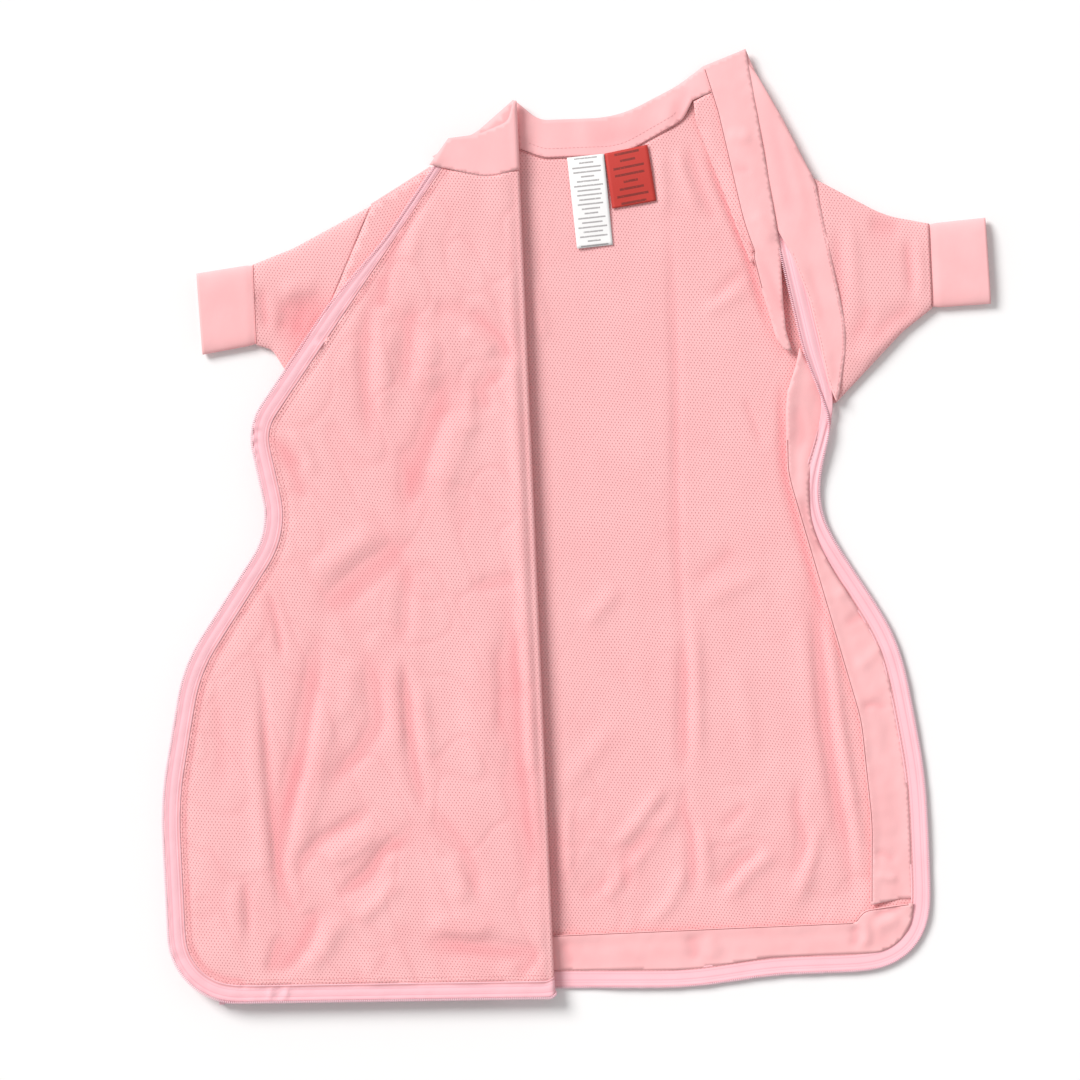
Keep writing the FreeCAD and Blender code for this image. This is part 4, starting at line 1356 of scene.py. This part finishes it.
def along_tree(name):
    """Geometry Nodes: one small piece repeated along a line, turned with it."""
    tree = bpy.data.node_groups.new(name, "GeometryNodeTree")
    inputs = [("Line", "Geometry")]
    inputs += [(size, "Float") for size in ("Pitch", "Length", "Width", "Height")]
    inputs += [("Finish", "Material")]
    for label_of, kind in inputs:
        tree.interface.new_socket(name=label_of, in_out="INPUT", socket_type="NodeSocket" + kind)
    tree.interface.new_socket(name="Row", in_out="OUTPUT", socket_type="NodeSocketGeometry")
    nodes = tree.nodes
    start, end = nodes.new("NodeGroupInput"), nodes.new("NodeGroupOutput")
    curve = nodes.new("GeometryNodeMeshToCurve")
    resample = nodes.new("GeometryNodeResampleCurve")
    resample.mode = "LENGTH"
    bead = nodes.new("GeometryNodeMeshUVSphere")
    bead.inputs["Segments"].default_value = 8
    bead.inputs["Rings"].default_value = 5
    bead.inputs["Radius"].default_value = 0.5
    tangent = nodes.new("GeometryNodeInputTangent")
    turn = nodes.new("FunctionNodeAlignRotationToVector")
    turn.axis = "X"
    size = nodes.new("ShaderNodeCombineXYZ")
    place = nodes.new("GeometryNodeInstanceOnPoints")
    real = nodes.new("GeometryNodeRealizeInstances")
    paint = nodes.new("GeometryNodeSetMaterial")
    for source, out, target, into in (
        (start, "Line", curve, 0),
        (curve, 0, resample, "Curve"),
        (start, "Pitch", resample, "Length"),
        (tangent, 0, turn, "Vector"),
        (start, "Length", size, 0),
        (start, "Width", size, 1),
        (start, "Height", size, 2),
        (resample, 0, place, "Points"),
        (bead, "Mesh", place, "Instance"),
        (turn, 0, place, "Rotation"),
        (size, 0, place, "Scale"),
        (place, 0, real, 0),
        (real, 0, paint, "Geometry"),
        (start, "Finish", paint, "Material"),
        (paint, 0, end, "Row"),
    ):
        tree.links.new(source.outputs[out], target.inputs[into])
    return tree


repeat_along = along_tree("repeat_along_a_line")


def row_along(name, lines, pitch, length, width, height, finish):
    """A row of beads or stitches along one or more lines, as one plain mesh."""
    spots, edges = [], []
    for line in lines:
        first = len(spots)
        spots += [tuple(map(float, p)) for p in line]
        edges += [(k, k + 1) for k in range(first, len(spots) - 1)]
    mesh = bpy.data.meshes.new(name)
    mesh.from_pydata(spots, edges, [])
    piece = bpy.data.objects.new(name, mesh)
    scene.collection.objects.link(piece)
    row = piece.modifiers.new("row", "NODES")
    row.node_group = repeat_along
    sizes = {"Pitch": pitch, "Length": length, "Width": width, "Height": height, "Finish": finish}
    for item in repeat_along.interface.items_tree:
        if item.item_type == "SOCKET" and item.name in sizes:
            row[item.identifier] = sizes[item.name]
    settle(piece)
    return piece


coil = (0.0015, 0.00115, 0.0024, 0.0018)
middle = (tape_left + tape_right) / 2
lean = 0.54 * (1 - 2 * smooth(0.066, 0.100, middle[:, 1]))
line = eased(middle + (tape_right - tape_left) * lean[:, None], 1)
coil_high = side_tape_high(line, np.full(len(line), 0.98)) + 0.0001
coil_back = row_along("zip_coil_side", [np.c_[line, coil_high]], *coil, coil_nylon)
stand_for(coil_back, "zip_coil", "shell", "zip_teeth_back", "zip_teeth_yoke")
flat_line = even(tape_free + (tape_free - tape_sewn) * 0.07, 700)
coil_spots = turned(flat_line[:, 0], flat_line[:, 1], np.full(len(flat_line), 0.0012))
coil_front = row_along("zip_coil_front", [coil_spots], *coil, coil_nylon)
stand_for(coil_front, "zip_coil", ("shell", "flap"), "zip_teeth_flap", "zip_teeth_front")


# ---- Stitching ----------------------------------------------------------------------------------
# Rows of pink thread, about eight stitches to the inch: along the zip seams, the neckband, the
# armholes and the cuffs.


def thread(name, colour):
    f = Finish(name)
    where = f.node("ShaderNodeTexCoord").outputs["Object"]
    shade = f.mix(f.patches(where, 0.004), colour, tuple(c * 0.8 for c in colour))
    f.set(Base_Color=shade, Roughness=0.6)
    f.bump(f.patches(where, 0.0003), 0.00003)
    return f.material


seam_thread = thread("seam_thread", (0.90, 0.46, 0.48))
stitch = (0.0031, 0.0023, 0.00045, 0.0004)


def on_cloth(line, surface, lift=0.0001):
    """A flat line laid on a piece's upper surface."""
    bpy.context.view_layer.update()
    spots = []
    for x, y in line:
        hit, place, _, _ = surface.ray_cast(Vector((x, y, 0.05)), Vector((0, 0, -1)))
        if hit:
            spots.append((x, y, place.z + lift))
    return spots


def inset(line, away):
    """A line moved sideways, to its left by away."""
    ahead = np.gradient(line, axis=0)
    return line + np.c_[-ahead[:, 1], ahead[:, 0]] / np.linalg.norm(ahead, axis=1)[:, None] * away


# Overlock rows in a dark brown-pink along the free edges of the facings, the top of the neckband and the cuff
# seams: real stitching, darkened to paint the thin shadow line along those edges.
overlock_and_shadow_thread = thread("overlock_and_shadow_thread", (0.50, 0.17, 0.18))
overlock_and_shadow_line = (0.0014, 0.0018, 0.0007, 0.0003)


def edge_of(line, sideways):
    """A row just inside a cloth's edge."""
    return inset(eased(line, 2)[::2], sideways / 1000)


neck_top = between(rim("neckband_back"), (-31, 296), (97, 312))
edge_rows = [
    on_cloth(edge_of(between(hem_loop, (-30, -317), (246, -304)), -0.7), guard_hem),
    on_cloth(edge_of(between(side_loop, (168, 50), (218, -302)), 0.7), guard_side),
    on_cloth(edge_of(between(neck_loop, (116, 352), (153, 180)), 0.6), guard_neck),
    on_cloth(inset(even(neck_top, 160), 0.0006)[3:-2], band_back),
    on_cloth(even(np.array([(0.2856, 0.2225), (0.2856, 0.1600)]), 60), sleeve_right),
    on_cloth(even(np.array([(-0.2411, 0.2140), (-0.2411, 0.1540)]), 60), sleeve_left),
]
edge_rows = [r for r in edge_rows if len(r) > 3]
overlock_and_shadow_stitches = row_along("overlock_and_shadow_stitches", edge_rows, *overlock_and_shadow_line, overlock_and_shadow_thread)
stand_for(overlock_and_shadow_stitches, "plain_jersey", "shell")

seam = part_way(tape_left, tape_right, 0.10, 700)
armhole_right = even(between(rim("sleeve_right"), (208, 88), (197, 264)), 90)
armhole_left = even(between(rim("sleeve_left"), (-212, 118), (-147, 257)), 60)
rows = [
    on_cloth(seam[(seam[:, 0] > -0.03) & (seam[:, 1] < 0.06)], tape_back),
    on_cloth(inset(yoke_edge, 0.0014)[5:], yoke),
    on_cloth(even(inset(even(neck_top, 60), 0.0012)[3:], 80), band_back),
    on_cloth(even(inset(even(neck_top, 60), 0.0075)[3:], 80), band_back),
    on_cloth(inset(armhole_right, -0.0012)[2:-2], sleeve_right),
    on_cloth(inset(armhole_right, 0.0012)[4:-4], yoke),
    on_cloth(even(np.array([(0.2845, 0.2205), (0.2846, 0.1620)]), 30), sleeve_right),
    on_cloth(even(np.array([(-0.2400, 0.2115), (-0.2400, 0.1560)]), 30), sleeve_left),
    on_cloth(inset(armhole_left, 0.0012)[20:-2], sleeve_left),
]
fixed_stitches = row_along("stitches", [r for r in rows if len(r) > 3], *stitch, seam_thread)
stand_for(fixed_stitches, "plain_jersey", "shell")

flat_seam = part_way(over_fold(flap_inner, 1), over_fold(flap_outer, 1), 0.22, 420)
seam_spots = turned(flat_seam[:, 0], flat_seam[:, 1], front_loft(flat_seam) + 0.0006)
second = part_way(over_fold(flap_inner, 1), over_fold(flap_outer, 1), 0.07, 420)
second_spots = turned(second[:, 0], second[:, 1], front_loft(second) + 0.00055)
neck_turned = even(between(rim("neckband_flap"), (-92, 283), (-33.5, 279)), 40)[:-3]
neck_flat = over_fold(inset(neck_turned, 0.0012), 1)
neck_spots = turned(neck_flat[:, 0], neck_flat[:, 1], 0.0018 + 0 * neck_flat[:, 0])
turned_rows = [seam_spots[:-2], second_spots[:-2], neck_spots]
turned_stitches = row_along("stitches_turned", turned_rows, *stitch, seam_thread)
stand_for(turned_stitches, "plain_jersey", "flap")


# ---- Slider, pull tab and end clips -------------------------------------------------------------
# Small castings of painted zinc, in the colour of the tape. The slider sits on the closed stretch
# of the hem, with its pull tab on a pin.


def painted_zinc(name, colour):
    f = Finish(name)
    where = f.node("ShaderNodeTexCoord").outputs["Object"]
    wear_and_shade = f.range(f.patches(where, 0.002, 5), 0.62, 0.75)
    f.set(Base_Color=f.mix(wear_and_shade, colour, (0.72, 0.66, 0.66)), Roughness=0.35, Coat_Weight=0.4)
    f.bump(f.patches(where, 0.0009), 0.00004)
    return f.material


zinc = painted_zinc("painted_zinc", (0.92, 0.58, 0.66))
for node in ("zip_slider", "zip_bridge", "zip_pull", "zip_stop_bottom", "zip_stop_yoke"):
    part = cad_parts[node]
    part.data.materials.clear()
    part.data.materials.append(zinc)

end = coil_spots[0]
ahead = (coil_spots[3] - end) / np.linalg.norm(coil_spots[3] - end)
across = np.array([-ahead[1], ahead[0], 0])
upward = np.array([0, 0, 1.0])
corners = [
    end + ahead * 0.0019 * i + across * 0.0016 * j + upward * (0.0010 * k)
    for k in (-1, 1)
    for i, j in ((-1, -1), (1, -1), (1, 1), (-1, 1))
]
clip_mesh = bpy.data.meshes.new("zip_clip")
sides = [(0, 3, 2, 1), (4, 5, 6, 7), (0, 1, 5, 4), (1, 2, 6, 5), (2, 3, 7, 6), (3, 0, 4, 7)]
clip_mesh.from_pydata([tuple(map(float, c)) for c in corners], [], sides)
clip_mesh.materials.append(zinc)
clip = bpy.data.objects.new("zip_clip", clip_mesh)
scene.collection.objects.link(clip)
rounded = clip.modifiers.new("rounded", "BEVEL")
rounded.width = 0.0006
rounded.segments = 3
settle(clip)
stand_for(clip, "zip_metal", "flap", "zip_stop_flap")
